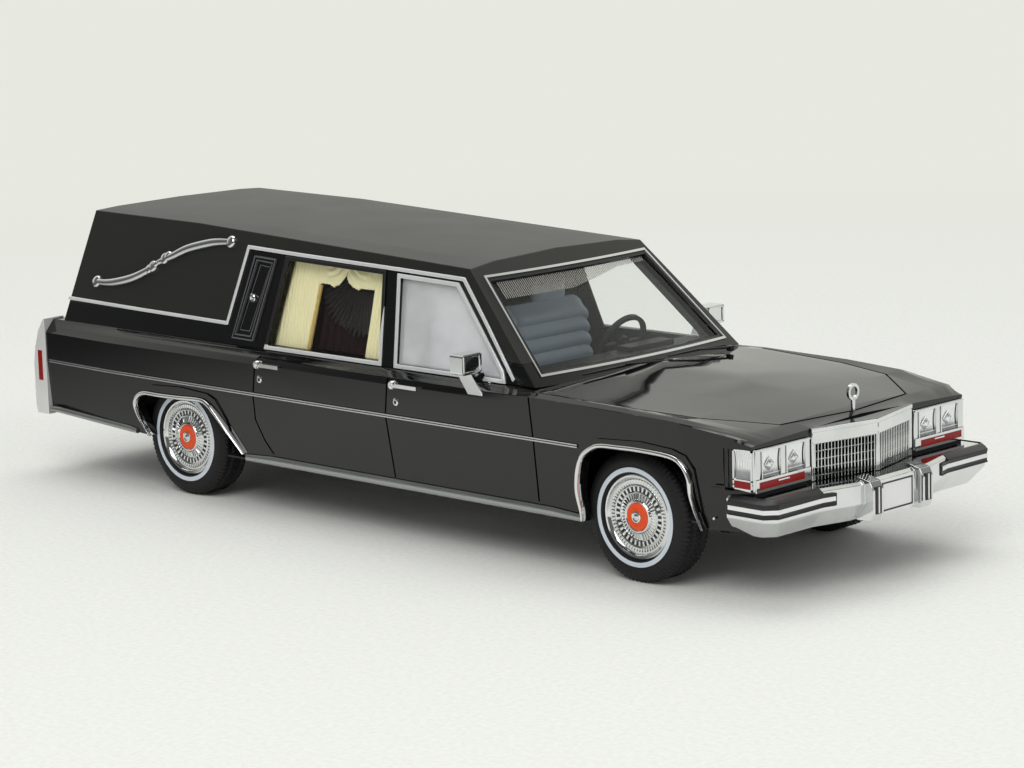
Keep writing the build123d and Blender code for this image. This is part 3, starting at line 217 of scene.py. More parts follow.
@dataclass(frozen=True)
class Finish:
    """A surface finish, made into one node material.

    Args:
        name: name of the material.
        colour: base colour, linear.
        roughness: roughness of the shader.
        metallic: share of metal in the shader.
        coat: weight of the clear coat.
        specular: specular level.
        grain: size of the surface grain in millimetres, or 0 for none.
        grain_depth: height of that grain in millimetres.
        mottle: share by which the colour and roughness vary.
        mottle_size: size of that variation in millimetres.
        transmission: weight of clear transmission.
        other: second finish, used where the zone says so.
        zone: function from a writer and the object coordinates in millimetres to a mask socket.
    """

    name: str
    colour: Colour
    roughness: float = 0.4
    metallic: float = 0.0
    coat: float = 0.0
    specular: float = 0.5
    grain: float = 0.0
    grain_depth: float = 0.0
    mottle: float = 0.0
    mottle_size: float = 6.0
    transmission: float = 0.0
    other: Optional["Finish"] = None
    zone: Optional[Callable[[NodeWriter, Socket, Socket, Socket], Socket]] = None

    def make(self) -> bpy.types.Material:
        """Builds the material once and returns it."""
        label = f"{self.name}_surface"
        found = bpy.data.materials.get(label)
        if found:
            return found
        material, writer = new_material(label)
        shader = writer.add("ShaderNodeBsdfPrincipled")
        shader.inputs["Base Color"].default_value = (*self.colour, 1.0)
        shader.inputs["Roughness"].default_value = self.roughness
        shader.inputs["Metallic"].default_value = self.metallic
        shader.inputs["Coat Weight"].default_value = self.coat
        shader.inputs["Coat Roughness"].default_value = 0.02
        shader.inputs["Specular IOR Level"].default_value = self.specular
        shader.inputs["Transmission Weight"].default_value = self.transmission
        output = writer.add("ShaderNodeOutputMaterial")
        writer.link(shader.outputs["BSDF"], output.inputs["Surface"])
        place = writer.add("ShaderNodeTexCoord").outputs["Object"]
        tone, rough = self._mottle(writer, place)
        metal: Optional[Socket] = None
        if self.other and self.zone:
            tone, rough, metal = self._zoned(writer, place, tone, rough)
        if tone:
            writer.link(tone, shader.inputs["Base Color"])
        if rough:
            writer.link(rough, shader.inputs["Roughness"])
        if metal:
            writer.link(metal, shader.inputs["Metallic"])
        if self.grain:
            noise = writer.add("ShaderNodeTexNoise", Scale=1.0 / (self.grain * MM), Detail=3.0)
            writer.link(place, noise.inputs["Vector"])
            bump = writer.add("ShaderNodeBump", Strength=1.0, Distance=self.grain_depth * MM)
            writer.link(noise.outputs["Fac"], bump.inputs["Height"])
            writer.link(bump.outputs["Normal"], shader.inputs["Normal"])
        return material

    def _mottle(self, writer: NodeWriter, place: Socket) -> tuple[Optional[Socket], Optional[Socket]]:
        """Varies colour and roughness softly over the surface, and returns both sockets."""
        if not self.mottle:
            return None, None
        noise = writer.add("ShaderNodeTexNoise", Scale=1.0 / (self.mottle_size * MM), Detail=4.0)
        writer.link(place, noise.inputs["Vector"])
        spread = writer.add("ShaderNodeMapRange")
        spread.inputs["To Min"].default_value = max(0.0, self.roughness * (1 - self.mottle))
        spread.inputs["To Max"].default_value = min(1.0, self.roughness * (1 + self.mottle))
        writer.link(noise.outputs["Fac"], spread.inputs["Value"])
        mix = writer.add("ShaderNodeMix", data_type="RGBA")
        mix.inputs["A"].default_value = (*[c * (1 - self.mottle * 0.5) for c in self.colour], 1.0)
        mix.inputs["B"].default_value = (*[min(1.0, c * (1 + self.mottle * 0.5)) for c in self.colour], 1.0)
        writer.link(noise.outputs["Fac"], mix.inputs["Factor"])
        return mix.outputs["Result"], spread.outputs["Result"]

    def _zoned(self, writer: NodeWriter, place: Socket, tone: Socket, rough: Socket) -> tuple[Socket, ...]:
        """Blends to the other finish inside the zone, and returns colour, roughness and metal."""
        parts = writer.add("ShaderNodeSeparateXYZ")
        writer.link(place, parts.inputs["Vector"])
        axes = [writer.math("MULTIPLY", parts.outputs[axis], 1.0 / MM) for axis in "XYZ"]
        mask = self.zone(writer, *axes)
        blended: list[Socket] = []
        mix = writer.add("ShaderNodeMix", data_type="RGBA")
        writer.link(tone, mix.inputs["A"])
        mix.inputs["B"].default_value = (*self.other.colour, 1.0)
        writer.link(mask, mix.inputs["Factor"])
        blended.append(mix.outputs["Result"])
        for start, end in ((rough, self.other.roughness), (self.metallic, self.other.metallic)):
            blend = writer.add("ShaderNodeMix", data_type="FLOAT")
            if isinstance(start, float):
                blend.inputs["A"].default_value = start
            else:
                writer.link(start, blend.inputs["A"])
            blend.inputs["B"].default_value = end
            writer.link(mask, blend.inputs["Factor"])
            blended.append(blend.outputs["Result"])
        return tuple(blended)


@dataclass(frozen=True)
class PaneFinish:
    """Clear sheet that lets light straight through and mirrors a little of the room; on the front door's pane it
    carries a painted reflection.

    Args:
        name: name of the material.
        tint: colour of what passes.
        painted_glare: colour of a pale diffuse layer on the front door's pane, a painted reflection of the bright room.
        painted_glare_share: share of that painted reflection.
        painted_glare_from_mm: place along the car ahead of which the painted reflection lies.
        base_mirror: share mirrored where the sheet is seen square on.
        outer_face_mm: distance from the centre plane beyond which a face that looks outwards counts as outer.
    """

    name: str
    tint: Colour = (0.975, 0.982, 0.978)
    painted_glare: Colour = (0.78, 0.78, 0.79)
    painted_glare_share: float = 0.46
    painted_glare_from_mm: float = 1.5
    base_mirror: float = 0.018
    outer_face_mm: float = 9.0

    def make(self) -> bpy.types.Material:
        """Builds the material once and returns it."""
        label = f"{self.name}_surface"
        found = bpy.data.materials.get(label)
        if found:
            return found
        material, writer = new_material(label)
        clear = writer.add("ShaderNodeBsdfTransparent", Color=(*self.tint, 1.0))
        # Painted reflection: a pale diffuse layer on the outward faces of the front door's pane, mixed in by a noisy
        # share, stands in for the bright room mirrored there.
        glare_layer = writer.add("ShaderNodeBsdfDiffuse", Color=(*self.painted_glare, 1.0))
        mirror = writer.add("ShaderNodeBsdfGlossy", Color=(1.0, 1.0, 1.0, 1.0), Roughness=0.02)
        place = writer.add("ShaderNodeTexCoord").outputs["Object"]
        parts = writer.add("ShaderNodeSeparateXYZ")
        writer.link(place, parts.inputs["Vector"])
        ahead = writer.math("GREATER_THAN", parts.outputs["X"], self.painted_glare_from_mm * MM)
        bearing = writer.add("ShaderNodeSeparateXYZ")
        writer.link(writer.add("ShaderNodeNewGeometry").outputs["Normal"], bearing.inputs["Vector"])
        outward = writer.math("MULTIPLY", bearing.outputs["Y"], parts.outputs["Y"])
        beside = writer.math("GREATER_THAN", outward, self.outer_face_mm * MM)
        noise = writer.add("ShaderNodeTexNoise", Scale=160.0, Detail=2.0)
        writer.link(place, noise.inputs["Vector"])
        glare_cloud = writer.math("MULTIPLY", writer.math("ADD", noise.outputs["Fac"], 0.5), self.painted_glare_share)
        share = writer.math("MULTIPLY", writer.math("MULTIPLY", ahead, beside), glare_cloud)
        sheet = writer.mix_shader(share, clear.outputs["BSDF"], glare_layer.outputs["BSDF"])
        facing = writer.add("ShaderNodeLayerWeight", Blend=0.5).outputs["Facing"]
        rise = writer.math("POWER", facing, 5.0)
        strength = writer.math("ADD", writer.math("MULTIPLY", rise, 1.0 - self.base_mirror), self.base_mirror)
        pane = writer.mix_shader(strength, sheet, mirror.outputs["BSDF"])
        output = writer.add("ShaderNodeOutputMaterial")
        writer.link(pane, output.inputs["Surface"])
        return material


def sloped(writer: NodeWriter, place: Socket, slope: float, start: float) -> Socket:
    """Value of a straight line at a place."""
    line = writer.math("MULTIPLY_ADD", place, slope)
    line.node.inputs[2].default_value = start
    return line


def gloss_side(writer: NodeWriter, x: Socket, y: Socket, z: Socket) -> Socket:
    """Mask of the glossy part of the greenhouse: the doors' pillars and the foot of the quarters."""
    low = writer.math("LESS_THAN", z, 25.35)
    ahead = writer.math("GREATER_THAN", x, sloped(writer, z, 0.21, -35.5))
    under = writer.math("LESS_THAN", z, sloped(writer, x, ROOF_FALL, 35.15))
    behind = writer.math("LESS_THAN", x, 4.0)
    inside = writer.math("MULTIPLY", writer.math("MULTIPLY", ahead, under), behind)
    return writer.math("MAXIMUM", low, inside)


def dark_frame(writer: NodeWriter, x: Socket, y: Socket, z: Socket) -> Socket:
    """Mask of the rear window's dark frame: its rear edge and its top."""
    under = writer.math("LESS_THAN", z, sloped(writer, x, ROOF_FALL, 34.93))
    over = writer.math("GREATER_THAN", z, 23.3)
    span = writer.math("MULTIPLY", writer.math("GREATER_THAN", x, -24.5), writer.math("LESS_THAN", x, 0.35))
    return writer.math("MULTIPLY", writer.math("MULTIPLY", under, over), span)


def groove_line(writer: NodeWriter, x: Socket, y: Socket, z: Socket) -> Socket:
    """Mask of the dark line along the middle of the side moulding."""
    away = writer.math("ABSOLUTE", writer.math("SUBTRACT", z, 16.7))
    return writer.math("LESS_THAN", away, 0.07)


GLOSS_BLACK = Finish("gloss_black_paint", (0.004, 0.004, 0.0045), roughness=0.05,
                     grain=2.4, grain_depth=0.0012, mottle=0.25, mottle_size=18)
SATIN_ROOF = Finish("satin_black_roof", (0.012, 0.0118, 0.0095), roughness=0.42, specular=0.44,
                    grain=0.20, grain_depth=0.006, mottle=0.10, mottle_size=9,
                    other=GLOSS_BLACK, zone=gloss_side)
CHROME = Finish("bright_chrome", (0.74, 0.75, 0.75), roughness=0.08, metallic=1.0,
                grain=2.2, grain_depth=0.003, mottle=0.3, mottle_size=5)
BLACK_TRIM = Finish("black_trim", (0.008, 0.008, 0.009), roughness=0.35,
                    grain=0.2, grain_depth=0.003, mottle=0.2)
FRAME_CHROME = Finish("frame_chrome", (0.78, 0.79, 0.79), roughness=0.25, metallic=0.4,
                      grain=1.5, grain_depth=0.002, mottle=0.2, other=BLACK_TRIM, zone=dark_frame)
MOULDING = Finish("side_moulding", (0.52, 0.53, 0.54), roughness=0.25, metallic=1.0,
                  grain=0.3, grain_depth=0.002, mottle=0.2, other=BLACK_TRIM, zone=groove_line)
TAIL_PLATING = Finish("tail_plating", (0.84, 0.84, 0.82), roughness=0.24, metallic=0.40,
                      grain=1.6, grain_depth=0.003, mottle=0.2, mottle_size=5)
SATIN_ALUMINIUM = Finish("satin_aluminium", (0.40, 0.41, 0.41), roughness=0.32, metallic=1.0,
                         grain=0.3, grain_depth=0.002, mottle=0.2, mottle_size=8)
SILVER_BOWL = Finish("silvered_reflector", (0.86, 0.87, 0.88), roughness=0.2, metallic=0.85, mottle=0.15,
                     mottle_size=1.2)
CLEAR_PANE = PaneFinish("clear_pane")
CLEAR_LENS = Finish("clear_lens", (0.97, 0.98, 0.98), roughness=0.03, transmission=1.0,
                    grain=0.6, grain_depth=0.02)
RED_LENS = Finish("red_lens", (0.26, 0.004, 0.003), roughness=0.22, specular=0.3, mottle=0.5, mottle_size=0.9,
                  grain=0.4, grain_depth=0.01)
ORANGE_ENAMEL = Finish("orange_enamel", (0.80, 0.080, 0.014), roughness=0.32, specular=0.3, mottle=0.12,
                       mottle_size=1.0, grain=0.5, grain_depth=0.004)
PLATE_WHITE = Finish("plate_white", (0.80, 0.80, 0.79), roughness=0.3, coat=0.3, mottle=0.04, grain=0.4,
                     grain_depth=0.002)
BASE_PLASTIC = Finish("base_plastic", (0.012, 0.012, 0.012), roughness=0.5,
                      grain=0.25, grain_depth=0.01, mottle=0.2)
CABIN_PLASTIC = Finish("cabin_plastic", (0.006, 0.006, 0.007), roughness=0.5, specular=0.25,
                       grain=0.2, grain_depth=0.008, mottle=0.2)
SEAT_PLASTIC = Finish("seat_plastic", (0.34, 0.40, 0.46), roughness=0.5,
                      grain=0.25, grain_depth=0.006, mottle=0.12, mottle_size=3)
CURTAIN_CREAM = Finish("curtain_cream", (0.93, 0.86, 0.54), roughness=0.7,
                       grain=0.2, grain_depth=0.006, mottle=0.10, mottle_size=2)
# Painted shade: darker orange for the fold of the curtain along the opening's rear edge.
CURTAIN_FOLD_SHADE = Finish("curtain_fold_shade", (0.66, 0.47, 0.15), roughness=0.7, mottle=0.10, mottle_size=2)
MAROON_CLOTH = Finish("maroon_cloth", (0.020, 0.006, 0.007), roughness=0.7, specular=0.2, grain=0.25,
                      grain_depth=0.008, mottle=0.4, mottle_size=3)
DARK_DRAPE = Finish("dark_drape", (0.016, 0.011, 0.012), roughness=0.55, grain=0.2, grain_depth=0.006,
                    mottle=0.3, mottle_size=3)
TYRE_RUBBER = Finish("tyre_rubber", (0.009, 0.0092, 0.0095), roughness=0.6, specular=0.35,
                     grain=0.3, grain_depth=0.006, mottle=0.2, mottle_size=3)
WHITEWALL = Finish("whitewall", (0.62, 0.68, 0.74), roughness=0.45, mottle=0.06, mottle_size=2, grain=0.3,
                   grain_depth=0.003)
AXLE_STEEL = Finish("axle_steel", (0.5, 0.5, 0.51), roughness=0.3, metallic=1.0, mottle=0.2)
# Painted shade: dark grey for the inside of the hub caps' ring of slots, where shade falls; the same grey draws the
# dark joint line round each headlamp's frame.
SLOT_SHADE_AND_JOINT = Finish("slot_shade_and_joint", (0.17, 0.17, 0.17), roughness=0.4, metallic=0.6, mottle=0.2, mottle_size=2)
# Painted highlight: grey lines that stand in for light caught on the edges of the black quarter panel's frame and
# recess.
QUARTER_EDGE_HIGHLIGHT = Finish("quarter_edge_highlight", (0.16, 0.16, 0.17), roughness=0.35, metallic=0.5,
                    mottle=0.15, mottle_size=3)
HATCH_INK = Finish("hatch_ink", (0.36, 0.35, 0.31), roughness=0.5, mottle=0.1)

SLOT_FINISHES: dict[str, Union[Finish, PaneFinish]] = {
    "body_paint": GLOSS_BLACK, "roof_vinyl": SATIN_ROOF, "chrome": CHROME, "clear_pane": CLEAR_PANE,
    "clear_lens": CLEAR_LENS, "red_lens": RED_LENS, "plate_white": PLATE_WHITE, "base_plastic": BASE_PLASTIC,
    "seat_plastic": SEAT_PLASTIC, "curtain_cream": CURTAIN_CREAM, "tyre_rubber": TYRE_RUBBER,
    "axle_steel": AXLE_STEEL,
}
NODE_FINISHES: dict[str, Union[Finish, PaneFinish]] = {
    "window_trims": FRAME_CHROME, "side_stripes": MOULDING, "sill_mouldings": SATIN_ALUMINIUM,
    "rear_bumper": TAIL_PLATING, "louvre_panels": GLOSS_BLACK, "front_rub_strips": BLACK_TRIM,
    "cabin_tub": CABIN_PLASTIC, "dashboard": CABIN_PLASTIC, "steering_wheel": CABIN_PLASTIC, "partition": CABIN_PLASTIC,
    "load_deck": DARK_DRAPE,
}


@dataclass
class Sculpt:
    """A mesh under construction, in millimetres, with a finish for each face.

    Args:
        name: name of the piece that it becomes.
    """

    name: str
    points: list[Point] = field(default_factory=list)
    faces: list[tuple[int, ...]] = field(default_factory=list)
    marks: list[int] = field(default_factory=list)
    finishes: list[Finish] = field(default_factory=list)

    def _mark(self, finish: Finish) -> int:
        """Index of a finish among the piece's own."""
        if finish not in self.finishes:
            self.finishes.append(finish)
        return self.finishes.index(finish)

    def face(self, corners: Sequence[Point], finish: Finish) -> None:
        """Adds one face with corners of its own."""
        first = len(self.points)
        self.points.extend(corners)
        self.faces.append(tuple(range(first, first + len(corners))))
        self.marks.append(self._mark(finish))

    def grid(self, rows: Sequence[Sequence[Point]], finish: Finish, closed: bool = False,
             keep: Optional[Callable[[int, int], bool]] = None) -> None:
        """Adds a sheet of quads through rows of points.

        Args:
            rows: rows of equally many points.
            finish: finish of the sheet.
            closed: whether each row closes on itself.
            keep: test of row and column that leaves out quads.
        """
        first = len(self.points)
        width = len(rows[0])
        for row in rows:
            self.points.extend(row)
        mark = self._mark(finish)
        for i in range(len(rows) - 1):
            for j in range(width if closed else width - 1):
                if keep and not keep(i, j):
                    continue
                k = (j + 1) % width
                a, b = first + i * width, first + (i + 1) * width
                self.faces.append((a + j, a + k, b + k, b + j))
                self.marks.append(mark)

    def hexahedron(self, corners: Sequence[Point], finish: Finish) -> None:
        """Adds a closed block from four low corners and four high ones, both in the same order."""
        first = len(self.points)
        self.points.extend(corners)
        mark = self._mark(finish)
        for quad in ((0, 1, 2, 3), (4, 5, 6, 7), (0, 1, 5, 4), (1, 2, 6, 5), (2, 3, 7, 6), (3, 0, 4, 7)):
            self.faces.append(tuple(first + i for i in quad))
            self.marks.append(mark)

    def box(self, low: Point, high: Point, finish: Finish) -> None:
        """Adds a block from its lowest to its highest corner."""
        (x, y, z), (u, v, w) = low, high
        self.hexahedron(((x, y, z), (u, y, z), (u, v, z), (x, v, z),
                         (x, y, w), (u, y, w), (u, v, w), (x, v, w)), finish)

    def side_box(self, s: int, near: Point, far: Point, finish: Finish) -> None:
        """Adds a block on the side of a sign, from two corners as they lie on the left side."""
        low, high = sorted((s * near[1], s * far[1]))
        self.box((near[0], low, near[2]), (far[0], high, far[2]), finish)

    def capped(self, rows: Sequence[Sequence[Point]], finish: Finish, closed: bool = False) -> None:
        """Adds a sheet through rows of points, and closes both its ends."""
        self.grid(rows, finish, closed=closed)
        self.face(rows[0], finish)
        self.face(rows[-1], finish)

    def tube(self, path: Sequence[Point], radii: Sequence[float], finish: Finish, sides: int = 10,
             flat: float = 1.0) -> None:
        """Adds a round bar along a path.

        Args:
            path: points along the middle.
            radii: radius at each point.
            finish: finish of the bar.
            sides: faces round it.
            flat: share to which the bar is flattened along Y.
        """
        rows: list[list[Point]] = []
        for i, point in enumerate(path):
            ahead = Vector(path[min(i + 1, len(path) - 1)]) - Vector(path[max(i - 1, 0)])
            ahead.normalize()
            across = ahead.cross(Vector((0.0, 1.0, 0.0)))
            if across.length < 0.1:
                across = ahead.cross(Vector((0.0, 0.0, 1.0)))
            across.normalize()
            out = across.cross(ahead)
            row = []
            for k in range(sides):
                turn = math.tau * k / sides
                spot = (Vector(point) + across * (math.cos(turn) * radii[i])
                        + out * (math.sin(turn) * radii[i] * flat))
                row.append(tuple(spot))
            rows.append(row)
        self.capped(rows, finish, closed=True)

    def build(self, body: Body, slot: str, smooth_deg: float = 40.0, replaces: Iterable[str] = (),
              bevel_mm: float = 0.0) -> bpy.types.Object:
        """Turns the sculpt into a piece that rides on a body.

        Args:
            body: body that carries the piece.
            slot: record's material slot; not used.
            smooth_deg: edges flatter than this shade smoothly.
            replaces: CAD nodes that the piece stands for.
            bevel_mm: width of softened edges, or 0.

        Returns:
            The new object.
        """
        mesh = bpy.data.meshes.new(self.name)
        mesh.from_pydata([tuple(c * MM for c in p) for p in self.points], [], self.faces)
        for finish in self.finishes:
            mesh.materials.append(finish.make())
        for polygon, mark in zip(mesh.polygons, self.marks):
            polygon.material_index = mark
        maker = bmesh.new()
        maker.from_mesh(mesh)
        bmesh.ops.remove_doubles(maker, verts=maker.verts, dist=1e-7)
        bmesh.ops.recalc_face_normals(maker, faces=maker.faces)
        maker.to_mesh(mesh)
        maker.free()
        mesh.polygons.foreach_set("use_smooth", [True] * len(mesh.polygons))
        mesh.set_sharp_from_angle(angle=math.radians(smooth_deg))
        piece = bpy.data.objects.new(self.name, mesh)
        bpy.context.scene.collection.objects.link(piece)
        if bevel_mm:
            soften(piece, bevel_mm, 35)
        nodes = tuple(replaces)
        if nodes:
            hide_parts(*nodes)
        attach(piece, body.value)
        log.info("piece %s: %d faces", self.name, len(mesh.polygons))
        return piece


@dataclass
class Studio:
    """Camera, floor, world and lamps of a plain product photograph.

    Args:
        eye_mm: camera's place in the frame.
        azimuth_deg: turn of the view about the vertical.
        elevation_deg: height of the view above the horizon.
        roll_deg: roll of the view.
        focal_px: focal length in pixels of the photograph.
        frame_px: width of the photograph in pixels.
        sensor_mm: width of the camera's sensor.
        paper: colour of the backdrop.
        room: colour of the dim side of the room, as metal mirrors it.
        floor_reach_mm: radius of the floor.
    """

    eye_mm: Point = (302.09, -302.29, 94.38)
    azimuth_deg: float = 44.427
    elevation_deg: float = 10.268
    roll_deg: float = -1.678
    focal_px: float = 3175.4
    frame_px: int = 1024
    sensor_mm: float = 36.0
    paper: Colour = (0.80, 0.81, 0.745)
    room: Colour = (0.13, 0.135, 0.13)
    floor_reach_mm: float = 6000.0

    def build(self) -> None:
        """Makes everything that isn't part of the model."""
        scene = bpy.context.scene
        scene.view_settings.view_transform = "Standard"
        self._camera(scene)
        self._world(scene)
        self._floor()
        self._lamps()
        log.info("studio: camera, world, floor and lamps")

    def _camera(self, scene: bpy.types.Scene) -> None:
        """Places the camera where the photograph was taken from."""
        a, e, r = (math.radians(v) for v in (self.azimuth_deg, self.elevation_deg, self.roll_deg))
        back = Vector((math.sin(a) * math.cos(e), -math.cos(a) * math.cos(e), math.sin(e)))
        level = Vector((math.cos(a), math.sin(a), 0.0))
        rise = back.cross(level)
        right = level * math.cos(r) + rise * math.sin(r)
        up = rise * math.cos(r) - level * math.sin(r)
        data = bpy.data.cameras.new("camera")
        data.sensor_width = self.sensor_mm
        data.lens = self.focal_px / self.frame_px * self.sensor_mm
        data.clip_start = 0.01
        data.clip_end = 50.0
        camera = bpy.data.objects.new("camera", data)
        turn = Matrix((right, up, back)).transposed().to_4x4()
        camera.matrix_world = Matrix.Translation(Vector(self.eye_mm) * MM) @ turn
        scene.collection.objects.link(camera)
        scene.camera = camera

    def _world(self, scene: bpy.types.Scene) -> None:
        """Lights the model evenly, shows pale paper to the camera and a dimmer room to metal."""
        world = bpy.data.worlds.new("studio_world")
        world.use_nodes = True
        world.node_tree.nodes.clear()
        writer = NodeWriter(world.node_tree)
        path = writer.add("ShaderNodeLightPath")
        camera_or_glass = writer.math("MAXIMUM", path.outputs["Is Camera Ray"],
                                      path.outputs["Is Transmission Ray"])
        glossy = path.outputs["Is Glossy Ray"]
        way = writer.add("ShaderNodeTexCoord").outputs["Generated"]
        toward = writer.add("ShaderNodeVectorMath", operation="DOT_PRODUCT")
        toward.inputs[1].default_value = (-0.70, 0.70, 0.12)
        writer.link(way, toward.inputs[0])
        fade = writer.smoothstep(toward.outputs["Value"], 0.05, 0.62)
        room = writer.add("ShaderNodeMix", data_type="RGBA")
        room.inputs["A"].default_value = (*self.room, 1.0)
        room.inputs["B"].default_value = (*self.paper, 1.0)
        writer.link(fade, room.inputs["Factor"])
        fill = writer.add("ShaderNodeBackground", Color=(0.97, 0.98, 1.0, 1.0), Strength=0.54)
        mirrored = writer.add("ShaderNodeBackground", Strength=1.0)
        writer.link(room.outputs["Result"], mirrored.inputs["Color"])
        shown = writer.add("ShaderNodeBackground", Color=(*self.paper, 1.0), Strength=1.0)
        lit = writer.mix_shader(glossy, fill.outputs["Background"], mirrored.outputs["Background"])
        seen = writer.mix_shader(camera_or_glass, lit, shown.outputs["Background"])
        output = writer.add("ShaderNodeOutputWorld")
        writer.link(seen, output.inputs["Surface"])
        scene.world = world

    def _floor(self) -> None:
        """Makes a wide floor that fades into the paper colour, mirrored darker towards the rear."""
        mesh = bpy.data.meshes.new("floor")
        maker = bmesh.new()
        bmesh.ops.create_circle(maker, cap_ends=True, segments=96, radius=self.floor_reach_mm * MM)
        maker.to_mesh(mesh)
        maker.free()
        floor = bpy.data.objects.new("floor", mesh)
        bpy.context.scene.collection.objects.link(floor)
        material, writer = new_material("paper_floor")
        place = writer.add("ShaderNodeTexCoord").outputs["Object"]
        away = writer.add("ShaderNodeVectorMath", operation="LENGTH")
        writer.link(place, away.inputs[0])
        fade = writer.smoothstep(away.outputs["Value"], 0.12, 0.42)
        matt = writer.add("ShaderNodeBsdfDiffuse")
        noise = writer.add("ShaderNodeTexNoise", Scale=1300.0, Detail=4.0, Roughness=0.7)
        writer.link(place, noise.inputs["Vector"])
        fleck = writer.add("ShaderNodeMix", data_type="RGBA")
        fleck.inputs["A"].default_value = (0.70, 0.71, 0.66, 1.0)
        fleck.inputs["B"].default_value = (0.93, 0.93, 0.88, 1.0)
        writer.link(noise.outputs["Fac"], fleck.inputs["Factor"])
        writer.link(fleck.outputs["Result"], matt.inputs["Color"])
        bump = writer.add("ShaderNodeBump", Strength=0.5, Distance=0.00006)
        writer.link(noise.outputs["Fac"], bump.inputs["Height"])
        writer.link(bump.outputs["Normal"], matt.inputs["Normal"])
        glow = writer.add("ShaderNodeEmission", Color=(*self.paper, 1.0), Strength=1.0)
        paper = writer.mix_shader(fade, matt.outputs["BSDF"], glow.outputs["Emission"])
        parts = writer.add("ShaderNodeSeparateXYZ")
        writer.link(place, parts.inputs["Vector"])
        edge = writer.smoothstep(parts.outputs["X"], -0.175, -0.035, 0.9, 0.0)
        mirrored = writer.add("ShaderNodeLightPath").outputs["Is Glossy Ray"]
        dark = writer.add("ShaderNodeEmission", Color=(*self.room, 1.0), Strength=0.1)
        surface = writer.mix_shader(writer.math("MULTIPLY", mirrored, edge), paper, dark.outputs["Emission"])
        output = writer.add("ShaderNodeOutputMaterial")
        writer.link(surface, output.inputs["Surface"])
        floor.data.materials.append(material)

    def _lamps(self) -> None:
        """Hangs soft boxes round the model."""
        boxes = (
            ("key_box", (0.30, -0.52, 0.62), 0.50, 2.5),
            ("top_box", (-0.20, 0.15, 0.90), 0.70, 2.9),
            ("side_box", (0.85, 0.35, 0.45), 0.40, 0.9),
        )
        for name, place, size, power in boxes:
            data = bpy.data.lights.new(name, "AREA")
            data.shape = "SQUARE"
            data.size = size
            data.energy = power
            lamp = bpy.data.objects.new(name, data)
            lamp.location = place
            aim = Vector((0.0, 0.0, 0.01)) - Vector(place)
            lamp.rotation_euler = aim.to_track_quat("-Z", "Y").to_euler()
            bpy.context.scene.collection.objects.link(lamp)


@dataclass
class CastBody:
    """Dresses the CAD nodes that stay as they are.

    Args:
        edge_mm: width of the softened edges of painted and plated castings.
        crease_deg: edges sharper than this are softened.
        soft_edged: nodes whose edges are softened.
    """

    edge_mm: float = 0.09
    crease_deg: float = 24.0
    soft_edged: tuple[str, ...] = (
        "body_shell", "roof_shell", "front_bumper", "rear_bumper", "mirror_left", "mirror_right",
        "headlamp_bezel_left", "headlamp_bezel_right", "grille_header", "louvre_panels", "window_trims",
    )

    def dress(self, frame: dict) -> None:
        """Gives every CAD node its finish, and soft edges where they catch light.
        """
        slots = {row["node"]: row["material_slot"] for row in frame["record"]["subparts"]}
        group = self._shading_group()
        for name, node in frame["nodes"].items():
            slot = slots.get(name, "base_plastic")
            finish = NODE_FINISHES.get(name, SLOT_FINISHES[slot])
            node.data.materials.clear()
            node.data.materials.append(finish.make())
            if slot != "clear_pane":
                even = node.modifiers.new("even_shading", "NODES")
                even.node_group = group
            if name in self.soft_edged:
                self._soften(node)
        log.info("cast body: %d nodes dressed", len(frame["nodes"]))

    def _soften(self, node: bpy.types.Object) -> None:
        """Adds a narrow bevel to a node's sharp edges."""
        soften(node, self.edge_mm, self.crease_deg)
        weigh = node.modifiers.new("weighted_normals", "WEIGHTED_NORMAL")
        weigh.keep_sharp = True

    def _shading_group(self) -> bpy.types.NodeTree:
        """Joins faces that meet, and shades them smoothly where they meet at a small angle."""
        group = bpy.data.node_groups.new("even_shading", "GeometryNodeTree")
        for way in ("INPUT", "OUTPUT"):
            group.interface.new_socket("Geometry", in_out=way, socket_type="NodeSocketGeometry")
        writer = NodeWriter(group)
        source = writer.add("NodeGroupInput")
        sink = writer.add("NodeGroupOutput")
        bare = writer.add("GeometryNodeRemoveAttribute", Name="custom_normal")
        weld = writer.add("GeometryNodeMergeByDistance", Distance=0.002 * MM)
        faces = writer.add("GeometryNodeSetShadeSmooth", domain="FACE")
        edges = writer.add("GeometryNodeSetShadeSmooth", domain="EDGE")
        bend = writer.add("GeometryNodeInputMeshEdgeAngle").outputs["Unsigned Angle"]
        soft = writer.math("LESS_THAN", bend, math.radians(self.crease_deg))
        writer.link(soft, edges.inputs["Shade Smooth"])
        step = source.outputs[0]
        for node in (bare, weld, faces, edges):
            writer.link(step, node.inputs["Geometry"])
            step = node.outputs["Geometry"]
        writer.link(step, sink.inputs[0])
        return group


